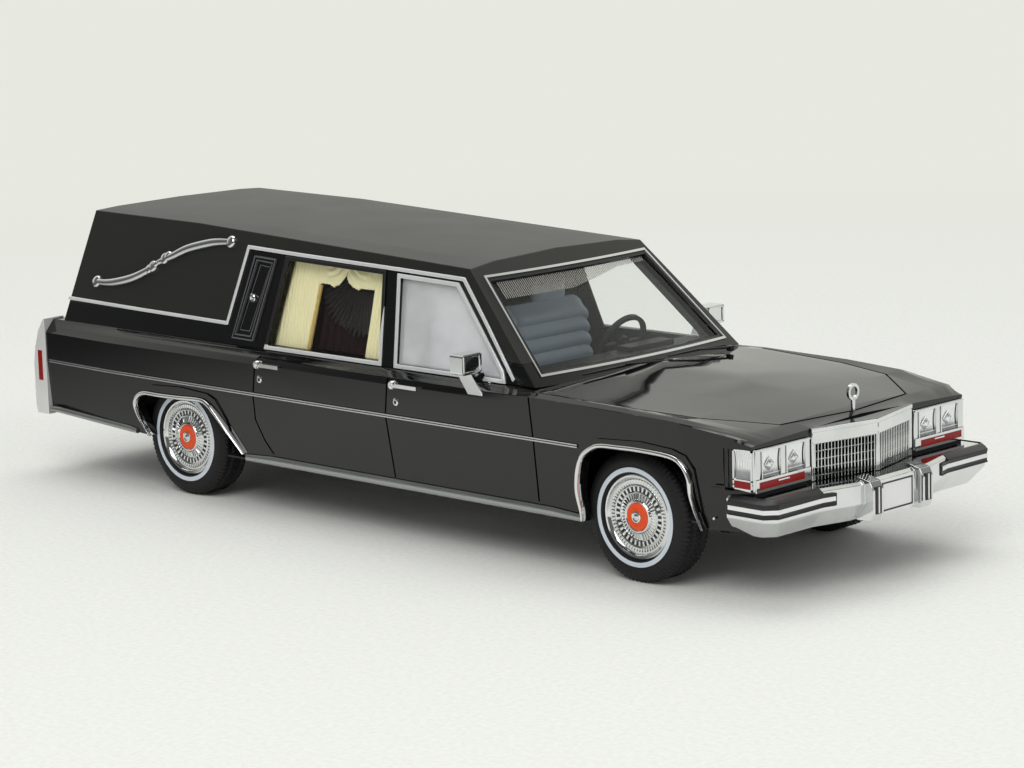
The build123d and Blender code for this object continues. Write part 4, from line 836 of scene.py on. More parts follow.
@dataclass
class RoadWheels:
    """Four tyres with white bands and four bright hub caps.

    Args:
        axles: place of each axle along the car, with its body and name.
        radius: outer radius of the tyre.
        rounds: points round the axle in each ring.
        tread_low: inner edge of the tread, from the centre plane.
        tread_step: distance between two rings of the tread.
        tread_rings: rings of the tread.
        fins: fins of the cap's inner ring.
        slot_fins: fins of the cap's outer ring.
        teeth: bright fins across the ring of slots.
    """

    axles: tuple[tuple[float, Body, str], ...] = (
        (FRONT_AXLE_X, Body.FRONT_AXLE, "front"), (REAR_AXLE_X, Body.REAR_AXLE, "rear"),
    )
    radius: float = TYRE_RADIUS
    rounds: int = 240
    tread_low: float = 15.75
    tread_step: float = 0.245
    tread_rings: int = 16
    fins: int = 40
    slot_fins: int = 60
    teeth: int = 32

    def build(self) -> None:
        """Makes every tyre and hub cap."""
        for axle_x, body, end in self.axles:
            for side in Side:
                self._tyre(axle_x, body, end, side)
                self._hub_cap(axle_x, body, end, side)

    def _ring(self, axle_x: float, side: Side, y: float, radius: Callable[[int], float],
              lift: Callable[[int], float] = lambda k: 0.0) -> list[Point]:
        """One ring of points about the axle."""
        ring = []
        for k in range(self.rounds):
            turn = math.tau * k / self.rounds
            r = radius(k)
            ring.append((axle_x + r * math.cos(turn), side.value * (y + lift(k)),
                         self.radius + r * math.sin(turn)))
        return ring

    def _tyre(self, axle_x: float, body: Body, end: str, side: Side) -> None:
        """A tyre with zigzag blocks, grooves and a white band."""

        def block(column: int) -> Callable[[int], float]:
            zig = (0, 0, 1, 1, 2, 2)[column % 6]
            groove = column in (3, 4, 11, 12)

            def radius(k: int) -> float:
                slit = (k + zig) % 3 < 1
                return self.radius - (0.28 if groove else 0.20 if slit else 0.0)

            return radius

        def plain(r: float) -> Callable[[int], float]:
            return lambda k: r

        def shoulder(r: float) -> Callable[[int], float]:
            return lambda k: r - (0.14 if (k + 1) % 3 < 1 else 0.0)

        sculpt = Sculpt(f"tyre_cover_{end}_{side.word}")
        inner = [(15.35, plain(5.45)), (15.0, plain(6.2)), (15.02, plain(7.2)), (15.35, shoulder(7.95))]
        tread = [(self.tread_low + j * self.tread_step, block(j)) for j in range(self.tread_rings)]
        outer = [(19.72, shoulder(8.0)), (20.02, shoulder(7.6)), (20.19, plain(7.15)), (20.21, plain(6.75)),
                 (20.15, plain(6.40)), (20.15, plain(6.30)), (20.20, plain(6.25))]
        band = [(20.20, plain(6.25)), (20.22, plain(5.95)), (20.19, plain(5.66))]
        bead = [(20.19, plain(5.66)), (20.05, plain(5.60)), (19.95, plain(5.50)), (19.5, plain(5.42))]
        rows = [self._ring(axle_x, side, y, r) for y, r in inner + tread + outer]
        sculpt.grid(rows, TYRE_RUBBER, closed=True)
        sculpt.grid([self._ring(axle_x, side, y, r) for y, r in band], WHITEWALL, closed=True)
        sculpt.grid([self._ring(axle_x, side, y, r) for y, r in bead], TYRE_RUBBER, closed=True)
        sculpt.build(body, "tyre_rubber", smooth_deg=38, replaces=[f"tyre_{end}_{side.word}"])

    def _hub_cap(self, axle_x: float, body: Body, end: str, side: Side) -> None:
        """A dished cap with fins, a ring of slots in painted shade, an orange disc and a plain button."""

        def fin(depth: float, count: int) -> Callable[[int], float]:
            return lambda k: depth * (1.0 if (k * count * 2 // self.rounds) % 2 else 0.0)

        none: Callable[[int], float] = lambda k: 0.0
        outline: list[tuple[float, float, Callable[[int], float]]] = [
            (18.9, 5.45, none), (19.55, 5.45, none), (19.78, 5.38, none), (19.86, 5.20, none),
            (19.80, 4.98, none), (19.55, 4.86, none), (19.42, 4.72, none), (19.46, 4.55, none),
            (19.40, 4.45, fin(0.07, self.slot_fins)), (19.36, 4.05, fin(0.07, self.slot_fins)),
            (19.44, 3.98, none),
            (19.50, 3.86, none), (19.44, 3.74, none), (19.02, 3.72, none),
            (19.02, 3.18, none), (19.46, 3.14, none), (19.54, 3.02, none), (19.48, 2.92, none),
            (19.42, 2.88, fin(0.09, self.fins)), (19.50, 2.20, fin(0.12, self.fins)),
            (19.66, 2.14, none), (19.78, 2.02, none), (19.80, 1.86, none), (19.72, 1.74, none),
        ]
        sculpt = Sculpt(f"hub_cap_{end}_{side.word}")
        rows = [self._ring(axle_x, side, y, lambda k, r=r: r, lift) for y, r, lift in outline]
        sculpt.grid(rows[:14], CHROME, closed=True)
        # Painted shade: the sunken ring of slots is coloured dark grey.
        sculpt.grid(rows[13:15], SLOT_SHADE_AND_JOINT, closed=True)
        sculpt.grid(rows[14:], CHROME, closed=True)
        for step in range(self.teeth):
            self._tooth(sculpt, axle_x, side, math.tau * step / self.teeth)
        disc = ((19.72, 1.74), (19.80, 1.66), (19.84, 1.20), (19.80, 1.12), (19.84, 1.04), (19.86, 0.76))
        button = ((19.86, 0.76), (19.98, 0.72), (20.02, 0.55), (19.97, 0.42), (20.03, 0.30), (20.05, 0.02))
        for turned, finish in ((disc, ORANGE_ENAMEL), (button, CHROME)):
            rings = [self._ring(axle_x, side, y, lambda k, r=r: r) for y, r in turned]
            sculpt.grid(rings, finish, closed=True)
        sculpt.build(body, "chrome", smooth_deg=34, replaces=[f"wheel_{end}_{side.word}"])

    def _tooth(self, sculpt: Sculpt, axle_x: float, side: Side, turn: float) -> None:
        """One thin bright fin across the ring of slots."""
        corners = []
        for y in (19.0, 19.42):
            for r, half in ((3.16, 0.13), (3.74, 0.16), (3.74, -0.16), (3.16, -0.13)):
                x = r * math.cos(turn) - half * math.sin(turn)
                z = r * math.sin(turn) + half * math.cos(turn)
                corners.append((axle_x + x, side.value * y, self.radius + z))
        sculpt.hexahedron(corners, CHROME)


@dataclass
class Nose:
    """Grille, lamps, rub strips, guards' pads and the plate's border.

    Args:
        corner_x: face of the grille at its outer corners.
        peak_x: face of the grille on the centre line.
        half_width: half width of the barred part.
        low_z: foot of the bars.
        high_z: head of the bars.
        uprights: bars in each half.
        rails: level bars.
        bar: width of an upright bar.
        lamp_face_x: face of the headlamps.
        lamp_places_y: middles of the two square lamps.
        lamp_z: height of their middles.
        lamp_half: half width of their openings.
        lip_z: foot and head of the header's bright lip.
        strip_plan: face of the bumper's strip in plan, on the left side.
        guard_y: middle of a bumper guard.
        plate_half: half width and half height of a plate.
        plate_border: width of the plates' border.
    """

    corner_x: float = 65.72
    peak_x: float = 68.0
    half_width: float = 9.4
    low_z: float = 12.15
    high_z: float = 18.15
    uprights: int = 19
    rails: int = 6
    bar: float = 0.23
    lamp_face_x: float = 65.7
    lamp_places_y: Flat = (13.02, 17.62)
    lamp_z: float = 17.06
    lamp_half: float = 1.70
    lip_z: Flat = (19.50, 20.02)
    strip_plan: tuple[Flat, ...] = ((62.6, 22.02), (68.0, 22.02), (69.33, 20.71), (69.33, 12.35), (69.80, 10.6))
    guard_y: float = 4.95
    plate_half: Flat = (3.02, 1.78)
    plate_border: float = 0.19

    def build(self) -> None:
        """Makes every piece of the nose."""
        self._grille()
        for side in Side:
            self._lamps(side)
            self._strip(side)
            self._pad(side)
        self._plate()

    def _on_face(self, share: float, side: Side, back: float = 0.0) -> Flat:
        """Point of the grille's face in plan, from its outer corner to the peak."""
        x = self.corner_x + share * (self.peak_x - self.corner_x)
        return x - back, side.value * self.half_width * (1 - share)

    def _grille(self) -> None:
        """Thin upright bars over finer level ones, before a black back."""
        sculpt = Sculpt("grille_crate")
        for side in Side:
            for step in range(self.uprights + 1):
                share = min(step / self.uprights, 0.985)
                x, y = self._on_face(share, side)
                half = self.bar / 2 * (1.8 if step in (0, self.uprights) else 1.0)
                sculpt.hexahedron(self._post(x, y, half, 0.42, self.low_z, self.high_z), CHROME)
            for rail in range(self.rails + 1):
                z = self.low_z + (self.high_z - self.low_z) * rail / self.rails
                a, b = self._on_face(0.0, side, 0.08), self._on_face(1.0, side, 0.08)
                c, d = self._on_face(1.0, side, 0.38), self._on_face(0.0, side, 0.38)
                t = 0.045 if 0 < rail < self.rails else 0.12
                sculpt.hexahedron(self._slab((a, b, c, d), z - t, z + t), CHROME)
            a, b = self._on_face(0.0, side, 0.46), self._on_face(1.0, side, 0.46)
            c, d = self._on_face(1.0, side, 0.9), self._on_face(0.0, side, 0.9)
            sculpt.hexahedron(self._slab((a, b, c, d), self.low_z, self.high_z), BLACK_TRIM)
        sculpt.build(Body.CAR, "chrome", replaces=["grille_bars"], bevel_mm=0.03)
        lip = Sculpt("header_lip")
        for side in Side:
            plan = [(65.76, side.value * 9.94), (68.16, 0.0), (67.9, 0.0), (65.5, side.value * 9.94)]
            lip.hexahedron(self._slab(plan, *self.lip_z), CHROME)
        lip.build(Body.CAR, "chrome", bevel_mm=0.05)

    @staticmethod
    def _slab(plan: Sequence[Flat], low: float, high: float) -> list[Point]:
        """Corners of a block that rises straight from an outline in plan."""
        return [(x, y, z) for z in (low, high) for x, y in plan]

    def _post(self, x: float, y: float, half: float, depth: float, low: float, high: float) -> list[Point]:
        """Corners of an upright bar whose front face is narrower than its root."""
        plan = ((x, y - half * 0.7), (x, y + half * 0.7), (x - depth, y + half), (x - depth, y - half))
        return self._slab(plan, low, high)

    def _lamps(self, side: Side) -> None:
        """Two square lamps and a corner lamp, each a fluted bowl in a thin frame."""
        s = side.value
        sculpt = Sculpt(f"lamp_glasses_{side.word}")
        face_x, depth, half, middle_z = self.lamp_face_x, 0.42, self.lamp_half, self.lamp_z
        for y in self.lamp_places_y:
            rows = []
            for i in range(13):
                v = -1 + i / 6
                row = []
                for j in range(25):
                    u = -1 + j / 12
                    bowl = depth * (1 - (abs(u) ** 2.2 + abs(v) ** 2.2) / 2)
                    flute = 0.05 * (1 if j % 2 else -1)
                    row.append((face_x - 0.08 - bowl + flute, s * (y + u * half * 0.94),
                                middle_z + v * half * 0.94))
                rows.append(row)
            sculpt.grid(rows, SILVER_BOWL)
            self._frame(sculpt, face_x, s * y, middle_z, half, 0.16, 0.12, CHROME)
            self._frame(sculpt, face_x, s * y, middle_z, half + 0.16, 0.05, 0.03, SLOT_SHADE_AND_JOINT)
            self._bulb(sculpt, face_x - 0.40, s * y, 17.0)
            sculpt.box((face_x - 0.1, s * y - 1.55, 15.92), (face_x, s * y + 1.55, 15.98), SILVER_BOWL)
        rows = []
        for i in range(9):
            z = 15.4 + 3.3 * i / 8
            row = []
            for j in range(21):
                x = 62.55 + 2.5 * j / 20
                row.append((x, s * (20.52 - 0.25 * math.sin(math.pi * i / 8) - 0.05 * (j % 2)), z))
            rows.append(row)
        sculpt.grid(rows, SILVER_BOWL)
        self._side_frame(sculpt, s)
        for low_z, high_z, out_x in ((15.16, 15.46, 65.86), (18.86, 19.05, 65.84), (13.92, 14.24, 65.86)):
            sculpt.side_box(s, (face_x, 10.35, low_z), (out_x, 20.55, high_z), CHROME)
        sculpt.side_box(s, (face_x, 11.5, 14.20), (65.82, 20.0, 15.20), RED_LENS)
        for y, width in ((10.35, 1.15), (20.0, 0.55)):
            sculpt.side_box(s, (face_x, y, 14.2), (65.85, y + width, 15.2), CHROME)
        sculpt.side_box(s, (62.5, 20.58, 14.26), (65.1, 20.68, 15.20), RED_LENS)
        # Painted highlight: a thin silver strip across the red bar stands in for a highlight line on it.
        sculpt.side_box(s, (65.74, 14.4, 14.80), (65.84, 16.4, 14.96), SILVER_BOWL)
        sculpt.build(Body.CAR, "chrome", smooth_deg=25, replaces=[f"headlamps_{side.word}"])

    @staticmethod
    def _bulb(sculpt: Sculpt, x: float, y: float, z: float) -> None:
        """A low four-sided cap over the bulb in the middle of a lamp's bowl."""
        rows = [[(x + out, y + radius * c, z + radius * n) for c, n in round_steps(4)]
                for radius, out in ((0.95, 0.0), (0.90, 0.10), (0.36, 0.30), (0.03, 0.34))]
        sculpt.grid(rows, SILVER_BOWL, closed=True)

    def _frame(self, sculpt: Sculpt, x: float, y: float, z: float, half: float, width: float, proud: float,
               finish: Finish) -> None:
        """A square frame round a lamp's face."""
        outer, inner = half + width, half
        sculpt.box((x, y - outer, z + inner), (x + proud, y + outer, z + outer), finish)
        sculpt.box((x, y - outer, z - outer), (x + proud, y + outer, z - inner), finish)
        sculpt.box((x, y - outer, z - inner), (x + proud, y - inner, z + inner), finish)
        sculpt.box((x, y + inner, z - inner), (x + proud, y + outer, z + inner), finish)

    def _side_frame(self, sculpt: Sculpt, s: int) -> None:
        """Thin bright frame round the corner lamp, on the car's side."""
        for (x, z), (u, w) in (((62.3, 18.76), (65.3, 19.0)), ((62.3, 15.2), (65.3, 15.38)),
                               ((62.3, 14.02), (65.3, 14.3)), ((62.3, 14.0), (62.52, 19.0)),
                               ((65.08, 14.0), (65.3, 19.0))):
            sculpt.side_box(s, (x, 20.6, z), (u, 20.72, w), CHROME)

    def _strip(self, side: Side) -> None:
        """White line along the black strip of the bumper, with the strip's dark lips and a black band of painted
        reflection over the bevel above.
        """
        s = side.value
        sculpt = Sculpt(f"bumper_line_{side.word}")
        for low, high, proud, finish in ((11.86, 12.40, 0.05, PLATE_WHITE), (12.66, 12.84, 0.06, BLACK_TRIM),
                                         (11.26, 11.44, 0.06, BLACK_TRIM)):
            self._ribbon(sculpt, self.strip_plan, s, low, high, proud, finish)
        self._bevel_reflection_band(sculpt, self.strip_plan[:4], s)
        sculpt.build(Body.CAR, "plate_white", bevel_mm=0.03)

    def _bevel_reflection_band(self, sculpt: Sculpt, plan: Sequence[Flat], s: int) -> None:
        """Painted reflection: black band over the chrome bevel above the bumper's strip, standing in for the dim room
        mirrored there.
        """
        rows = []
        for z, out in ((12.84, 0.05), (13.02, 0.05), (13.52, -0.62), (13.60, -0.90)):
            rows.append([(x, y, z) for x, y in self._moved(plan, s, out)])
        sculpt.grid(rows, BLACK_TRIM)

    @staticmethod
    def _moved(plan: Sequence[Flat], s: int, amount: float) -> list[Flat]:
        """A plan outline on one side of the car, moved outwards by an amount."""
        line = []
        for i, (x, y) in enumerate(plan):
            along = direction(plan, i)
            line.append((x - along.y * amount, s * (y + along.x * amount)))
        return line

    def _ribbon(self, sculpt: Sculpt, plan: Sequence[Flat], s: int, low: float, high: float, proud: float,
                finish: Finish) -> None:
        """A thin band that follows a plan outline, standing a little proud of it."""
        outer, inner = self._moved(plan, s, proud), self._moved(plan, s, -0.1)
        rows = []
        for z, line in ((low, inner), (low, outer), (high, outer), (high, inner)):
            rows.append([(x, y, z) for x, y in line])
        sculpt.grid(rows, finish)

    def _pad(self, side: Side) -> None:
        """Black pad with a white line on a bumper guard."""
        y = side.value * self.guard_y
        sculpt = Sculpt(f"guard_pad_{side.word}")
        sculpt.box((71.7, y - 0.55, 9.5), (71.95, y + 0.55, 12.9), BLACK_TRIM)
        sculpt.box((71.92, y - 0.12, 9.6), (72.0, y + 0.12, 12.8), PLATE_WHITE)
        sculpt.build(Body.CAR, "base_plastic", bevel_mm=0.08)

    def _plate(self) -> None:
        """Black border on the bare plates, front and rear."""
        (half_y, half_z), width = self.plate_half, self.plate_border
        for name, x, out in (("front", 70.9, 1), ("rear", -71.85, -1)):
            sculpt = Sculpt(f"plate_border_{name}")
            near, far = sorted((x, x + out * 0.05))
            for (y, z), (u, w) in (((-half_y, half_z - width), (half_y, half_z)),
                                   ((-half_y, -half_z), (half_y, width - half_z)),
                                   ((-half_y, -half_z), (width - half_y, half_z)),
                                   ((half_y - width, -half_z), (half_y, half_z))):
                sculpt.box((near, y, PLATE_Z + z), (far, u, PLATE_Z + w), BLACK_TRIM)
            sculpt.build(Body.CAR, "plate_white")


@dataclass
class SideWindows:
    """Curtains with their valance and dark drape, behind the rear side windows.

    Args:
        rear_x: rear edge of the sheet at the belt.
        front_x: front edge of the sheet.
        apex_x: place of the opening's point.
        low_z: foot of the sheet.
        columns: quads along the sheet.
        rows: quads up the sheet.
        behind_wall: distance of the sheet's middle plane from the greenhouse's side.
    """

    rear_x: float = -24.2
    front_x: float = 1.6
    apex_x: float = -9.35
    low_z: float = 22.75
    columns: int = 300
    rows: int = 84
    behind_wall: float = 1.75

    def build(self) -> None:
        """Makes both sides."""
        for side in Side:
            self._curtain(side)
            self._drape(side)

    def _depth(self, z: float) -> float:
        """Half width of the sheet's middle plane at a height."""
        return wall(z) - self.behind_wall

    @staticmethod
    def _head(x: float) -> float:
        """Height of the sheet's top edge."""
        return 34.95 - (x + 21.6) * 0.012

    @staticmethod
    def _edges(z: float) -> Flat:
        """Rear and front edges of the opening at a height."""
        return -15.07 + 0.062 * (z - 23.33), -3.82 + 0.011 * (z - 23.08)

    def _opening(self, x: float) -> float:
        """Height of the opening's scalloped top edge."""
        away = abs(x - self.apex_x)
        if away < 1.9:
            return 33.35 - 1.65 * math.sin(away / 1.9 * math.pi / 2) ** 0.8
        if away < 2.9:
            return 31.70 - 0.24 * math.sin((away - 1.9) * math.pi)
        return 31.70

    def _curtain(self, side: Side) -> None:
        """A pleated panel each side of the opening, under two gathered swags, with painted shade on the fold along the
        opening's rear edge.
        """
        sculpt = Sculpt(f"curtain_cloth_{side.word}")
        grid: list[list[Point]] = []
        for i in range(self.rows + 1):
            row = []
            for j in range(self.columns + 1):
                u = j / self.columns
                v = i / self.rows
                lean = 0.20 * (v * (34.9 - self.low_z))
                x = self.rear_x + u * (self.front_x - self.rear_x) + lean * (1 - u)
                z = self.low_z + v * (self._head(x) - self.low_z)
                pleat = 0.13 * math.sin(x * math.tau / 0.62) + 0.05 * math.sin(x * math.tau / 2.3 + 0.3 * z)
                swag = self._swag(x, z)
                row.append((x, side.value * (self._depth(z) + pleat * (1 - swag[0]) + swag[1]), z))
            grid.append(row)

        def solid(i: int, j: int) -> bool:
            x, _, z = grid[i][j]
            rear, front = self._edges(z)
            return not (rear < x < front and z < self._opening(x))

        sculpt.grid(grid, CURTAIN_CREAM, keep=solid)
        # Two strips along the opening's rear edge, coloured with the painted shade of the curtain's fold.
        for start, end in ((-0.02, 0.16), (0.20, 0.40)):
            edge = []
            for k in range(25):
                z = self.low_z + 0.1 + k * (31.5 - self.low_z) / 24
                x, y = self._edges(z)[0], self._depth(z)
                edge.append([(x + start, side.value * (y + 0.15), z), (x + end, side.value * (y - 0.25), z)])
            sculpt.grid(edge, CURTAIN_FOLD_SHADE)
        piece = sculpt.build(Body.CAR, "curtain_cream", smooth_deg=70, replaces=[f"curtain_{side.word}"])
        thick = piece.modifiers.new("cloth", "SOLIDIFY")
        thick.thickness = 0.12 * MM
        thick.offset = 0.0

    def _swag(self, x: float, z: float) -> tuple[float, float]:
        """Share of swag at a point and its curved folds."""
        apex = self.apex_x
        middle = apex + (3.6 if x > apex else -3.6)
        reach = math.hypot((x - middle) / 1.15, z - 35.6)
        share = max(0.0, min(1.0, (z - 31.3) / 1.2)) * max(0.0, min(1.0, (4.6 - abs(x - apex)) / 1.6))
        return share, share * (0.20 + 0.16 * math.sin(reach * math.tau / 0.95))

    def _drape(self, side: Side) -> None:
        """Dark fan of pleats with a ragged foot behind the opening, before a maroon cloth."""
        sculpt = Sculpt(f"fan_drape_{side.word}")
        apex = (-6.2, 34.4)
        rows = []
        for i in range(25):
            row = []
            for k in range(145):
                turn = math.radians(-176 + 122 * k / 144)
                pleat = abs(math.sin(k * math.pi / 6))
                ragged = 1.0 + 0.07 * pleat + 0.03 * math.sin(k * 0.9)
                reach = (0.5 + i * 0.355) * (ragged if i > 20 else 1.0)
                fold = 0.34 * pleat * min(1.0, reach / 3.5) + 0.07 * (i % 2)
                x = apex[0] + reach * math.cos(turn) * 1.02
                z = max(apex[1] + reach * math.sin(turn) * 0.93, 22.9)
                row.append((x, side.value * (self._depth(z) - 0.70 - 0.05 * reach + fold), z))
            rows.append(row)
        sculpt.grid(rows, DARK_DRAPE)
        cloth = []
        for i in range(13):
            z = 22.85 + i * 0.92
            cloth.append([(x / 10, side.value * (self._depth(z) - 1.7 + 0.16 * math.sin(x * 0.42)), z)
                          for x in range(-160, -28, 2)])
        sculpt.grid(cloth, MAROON_CLOTH)
        sculpt.build(Body.CAR, "curtain_cream", smooth_deg=20)


@dataclass
class Cabin:
    """Bench seat with rolls and head restraints, the dashboard's details and the door posts' trims.

    Args:
        half_width: half width of the seat.
        rolls: level rolls of the seat's back.
    """

    half_width: float = 16.3
    rolls: int = 6

    def build(self) -> None:
        """Makes the seat and what lies before it."""
        self._seat()
        self._dash()

    def _seat(self) -> None:
        """Back and cushion with level rolls, two head restraints."""
        sculpt = Sculpt("seat_moulding")
        outline = [(17.8, 8.1), (17.9, 12.4), (17.4, 14.6), (16.0, 15.3), (9.2, 15.0), (8.3, 16.0),
                   (6.9, 27.2), (6.0, 28.4), (4.2, 28.2), (3.55, 22.0), (3.52, 8.1)]
        dense = self._dense(outline, 0.28)
        rows = []
        for j in range(49):
            u = -1 + j / 24
            y = u * self.half_width
            edge = 1 - max(0.0, abs(u) - 0.93) / 0.07 * 0.06
            row = []
            for x, z in dense:
                out = up = 0.0
                if 6.8 < x < 8.5 and 16.0 < z < 27.3:
                    out = 0.62 * abs(math.sin((z - 16.0) / 11.3 * self.rolls * math.pi)) ** 0.7
                elif 9.2 < x < 16.0 and 14.9 < z < 15.4:
                    up = 0.34 * abs(math.sin((x - 9.2) / 6.8 * 4 * math.pi)) ** 0.7
                notch = 0.5 if abs(u) < 0.035 else 0.0
                slim = 1 - 0.17 * min(max((z - 15.5) / 2.0, 0.0), 1.0)
                row.append((x * edge + (1 - edge) * 8 + out - notch, y * slim,
                            z * edge + (1 - edge) * 16 + up))
            rows.append(row)
        sculpt.capped(rows, SEAT_PLASTIC)
        for y in (-7.8, 7.8):
            self._restraint(sculpt, y)
        sculpt.build(Body.CAR, "seat_plastic", smooth_deg=50, replaces=["bench_seat"])

    @staticmethod
    def _dense(outline: Sequence[Flat], spacing: float) -> list[Flat]:
        """Outline with points at about an even spacing."""
        dense: list[Flat] = []
        for (x, z), (u, w) in zip(outline, outline[1:]):
            steps = max(2, round(math.hypot(u - x, w - z) / spacing))
            dense.extend((x + (u - x) * k / steps, z + (w - z) * k / steps) for k in range(steps))
        return dense + [outline[-1]]

    def _restraint(self, sculpt: Sculpt, middle_y: float) -> None:
        """One head restraint with rounded corners."""
        rows = []
        for i in range(13):
            turn = math.pi * i / 12 - math.pi / 2
            z = 29.2 + 1.25 * math.sin(turn)
            width = 3.1 * (0.82 + 0.18 * math.cos(turn) ** 0.5 if math.cos(turn) > 0 else 0.82)
            row = []
            for k in range(24):
                angle = math.tau * k / 24
                across = math.copysign(abs(math.cos(angle)) ** 0.5, math.cos(angle))
                along = math.copysign(abs(math.sin(angle)) ** 0.7, math.sin(angle))
                row.append((5.4 + along * 0.95 * (0.4 + 0.6 * max(math.cos(turn), 0.0)),
                            middle_y + across * width, z))
            rows.append(row)
        sculpt.capped(rows, SEAT_PLASTIC, closed=True)

    def _dash(self) -> None:
        """Vents and a plain panel on the dashboard, and dark trims on the door posts."""
        sculpt = Sculpt("dash_details")
        for y in (-14.5, -2.0, 2.5, 15.0):
            sculpt.box((20.6, y - 1.6, 22.1), (20.85, y + 1.6, 22.9), BLACK_TRIM)
            for k in range(4):
                sculpt.box((20.5, y - 1.5, 22.2 + k * 0.2), (20.62, y + 1.5, 22.26 + k * 0.2),
                           SATIN_ALUMINIUM)
        sculpt.box((20.55, -8.0, 21.0), (20.75, -3.6, 21.9), SATIN_ALUMINIUM)
        sculpt.build(Body.CAR, "base_plastic")
        trim = Sculpt("door_post_trims")
        for side in Side:
            rows = []
            for k in range(9):
                z = 22.9 + 1.37 * k
                front = 6.25 - 0.205 * (z - 22.9)
                outer, inner = side.value * (wall(z) - 1.35), side.value * (wall(z) - 1.75)
                rows.append([(2.3, outer, z), (front, outer, z), (front, inner, z), (2.3, inner, z)])
            trim.capped(rows, CABIN_PLASTIC, closed=True)
        trim.build(Body.CAR, "base_plastic", bevel_mm=0.08)


@dataclass
class ScreenFittings:
    """Sun band, wipers and bright surround of the windscreen.

    Args:
        foot_x: windscreen's foot on the centre line at the shoulder.
        slope: how far the glass leans back for each millimetre of height.
        bow: how far the middle of the glass stands ahead of its sides.
        corners: outer corners of the bright line, across and up.
        band_top_z: head of the sun band.
        line_step: distance between two lines of the band.
        line_half: half width of a line.
    """

    foot_x: float = 28.95
    slope: float = 1.079
    bow: float = 1.7
    corners: tuple[Flat, ...] = ((-18.0, 23.55), (18.0, 23.55), (15.5, 35.16), (-15.5, 35.16))
    band_top_z: float = 34.45
    line_step: float = 0.34
    line_half: float = 0.04

    def build(self) -> None:
        """Makes the band, the wipers and the surround."""
        self._band()
        self._wipers()
        self._surround()

    def _surround(self) -> None:
        """Slim bright line round the glass, with a black gasket inside it."""
        sculpt = Sculpt("windscreen_surround")
        middle_z = 29.4
        for width, start, proud, finish in ((0.26, 0.0, 0.18, CHROME), (0.36, 0.26, 0.06, BLACK_TRIM)):
            rings: list[list[Point]] = []
            for inset, lift in ((start, -0.3), (start, proud), (start + width, proud), (start + width, -0.3)):
                ring: list[Point] = []
                for i, (y, z) in enumerate(self.corners):
                    v, w = self.corners[(i + 1) % 4]
                    for k in range(14):
                        a, b = y + (v - y) * k / 14, z + (w - z) * k / 14
                        a -= math.copysign(inset, a) * min(1.0, abs(a) / 14)
                        b += inset * (1 if b < middle_z else -1) * min(1.0, abs(b - middle_z) / 5.4)
                        ring.append(self._glass(a, b, lift))
                rings.append(ring)
            sculpt.grid(rings, finish, closed=True)
        sculpt.build(Body.CAR, "chrome", smooth_deg=30, replaces=["windscreen_trim"])

    def _glass(self, y: float, z: float, out: float) -> Point:
        """Point of the glass's face, moved out by a little."""
        x = self.foot_x - (z - SHOULDER_Z) * self.slope + self.bow * (1 - (y / 22.2) ** 2)
        return (x + out, y, z + out)

    def _band(self) -> None:
        """Close upright lines along the head of the glass."""
        sculpt = Sculpt("sun_band")
        y = -14.0
        while y < 14.0:
            fade = 1.0 if y < -2 else max(0.25, 1 - (y + 2) / 14)
            corners: list[Point] = []
            for v, z in ((y, self.band_top_z - 1.9 * fade), (y + 0.28, self.band_top_z)):
                outer, inner = self._glass(v, z, -0.16), self._glass(v, z, -0.22)
                for (px, py, pz), way in ((outer, -1), (outer, 1), (inner, 1), (inner, -1)):
                    corners.append((px, py + way * self.line_half, pz))
            sculpt.hexahedron(corners, HATCH_INK)
            y += self.line_step
        sculpt.build(Body.CAR, "clear_pane")

    def _wipers(self) -> None:
        """Two black blades with their arms, parked at the foot of the glass."""
        sculpt = Sculpt("wipers")
        for start, end in (((32.4, 1.2, 23.75), (31.0, -12.8, 23.45)),
                           ((32.2, 13.6, 23.7), (32.6, 1.9, 23.95))):
            sculpt.tube([start, tuple((a + b) / 2 + c for a, b, c in zip(start, end, (0.1, 0.0, 0.12))), end],
                        [0.13, 0.2, 0.12], BLACK_TRIM, sides=8)
            middle = tuple((a + b) / 2 for a, b in zip(start, end))
            sculpt.tube([(start[0] + 0.9, start[1], 23.5), (middle[0] + 0.3, middle[1], 23.95)],
                        [0.2, 0.13], BLACK_TRIM, sides=8)
            sculpt.box((start[0] + 0.5, start[1] - 0.35, 23.0), (start[0] + 1.2, start[1] + 0.35, 23.7),
                       BLACK_TRIM)
        sculpt.build(Body.CAR, "base_plastic")


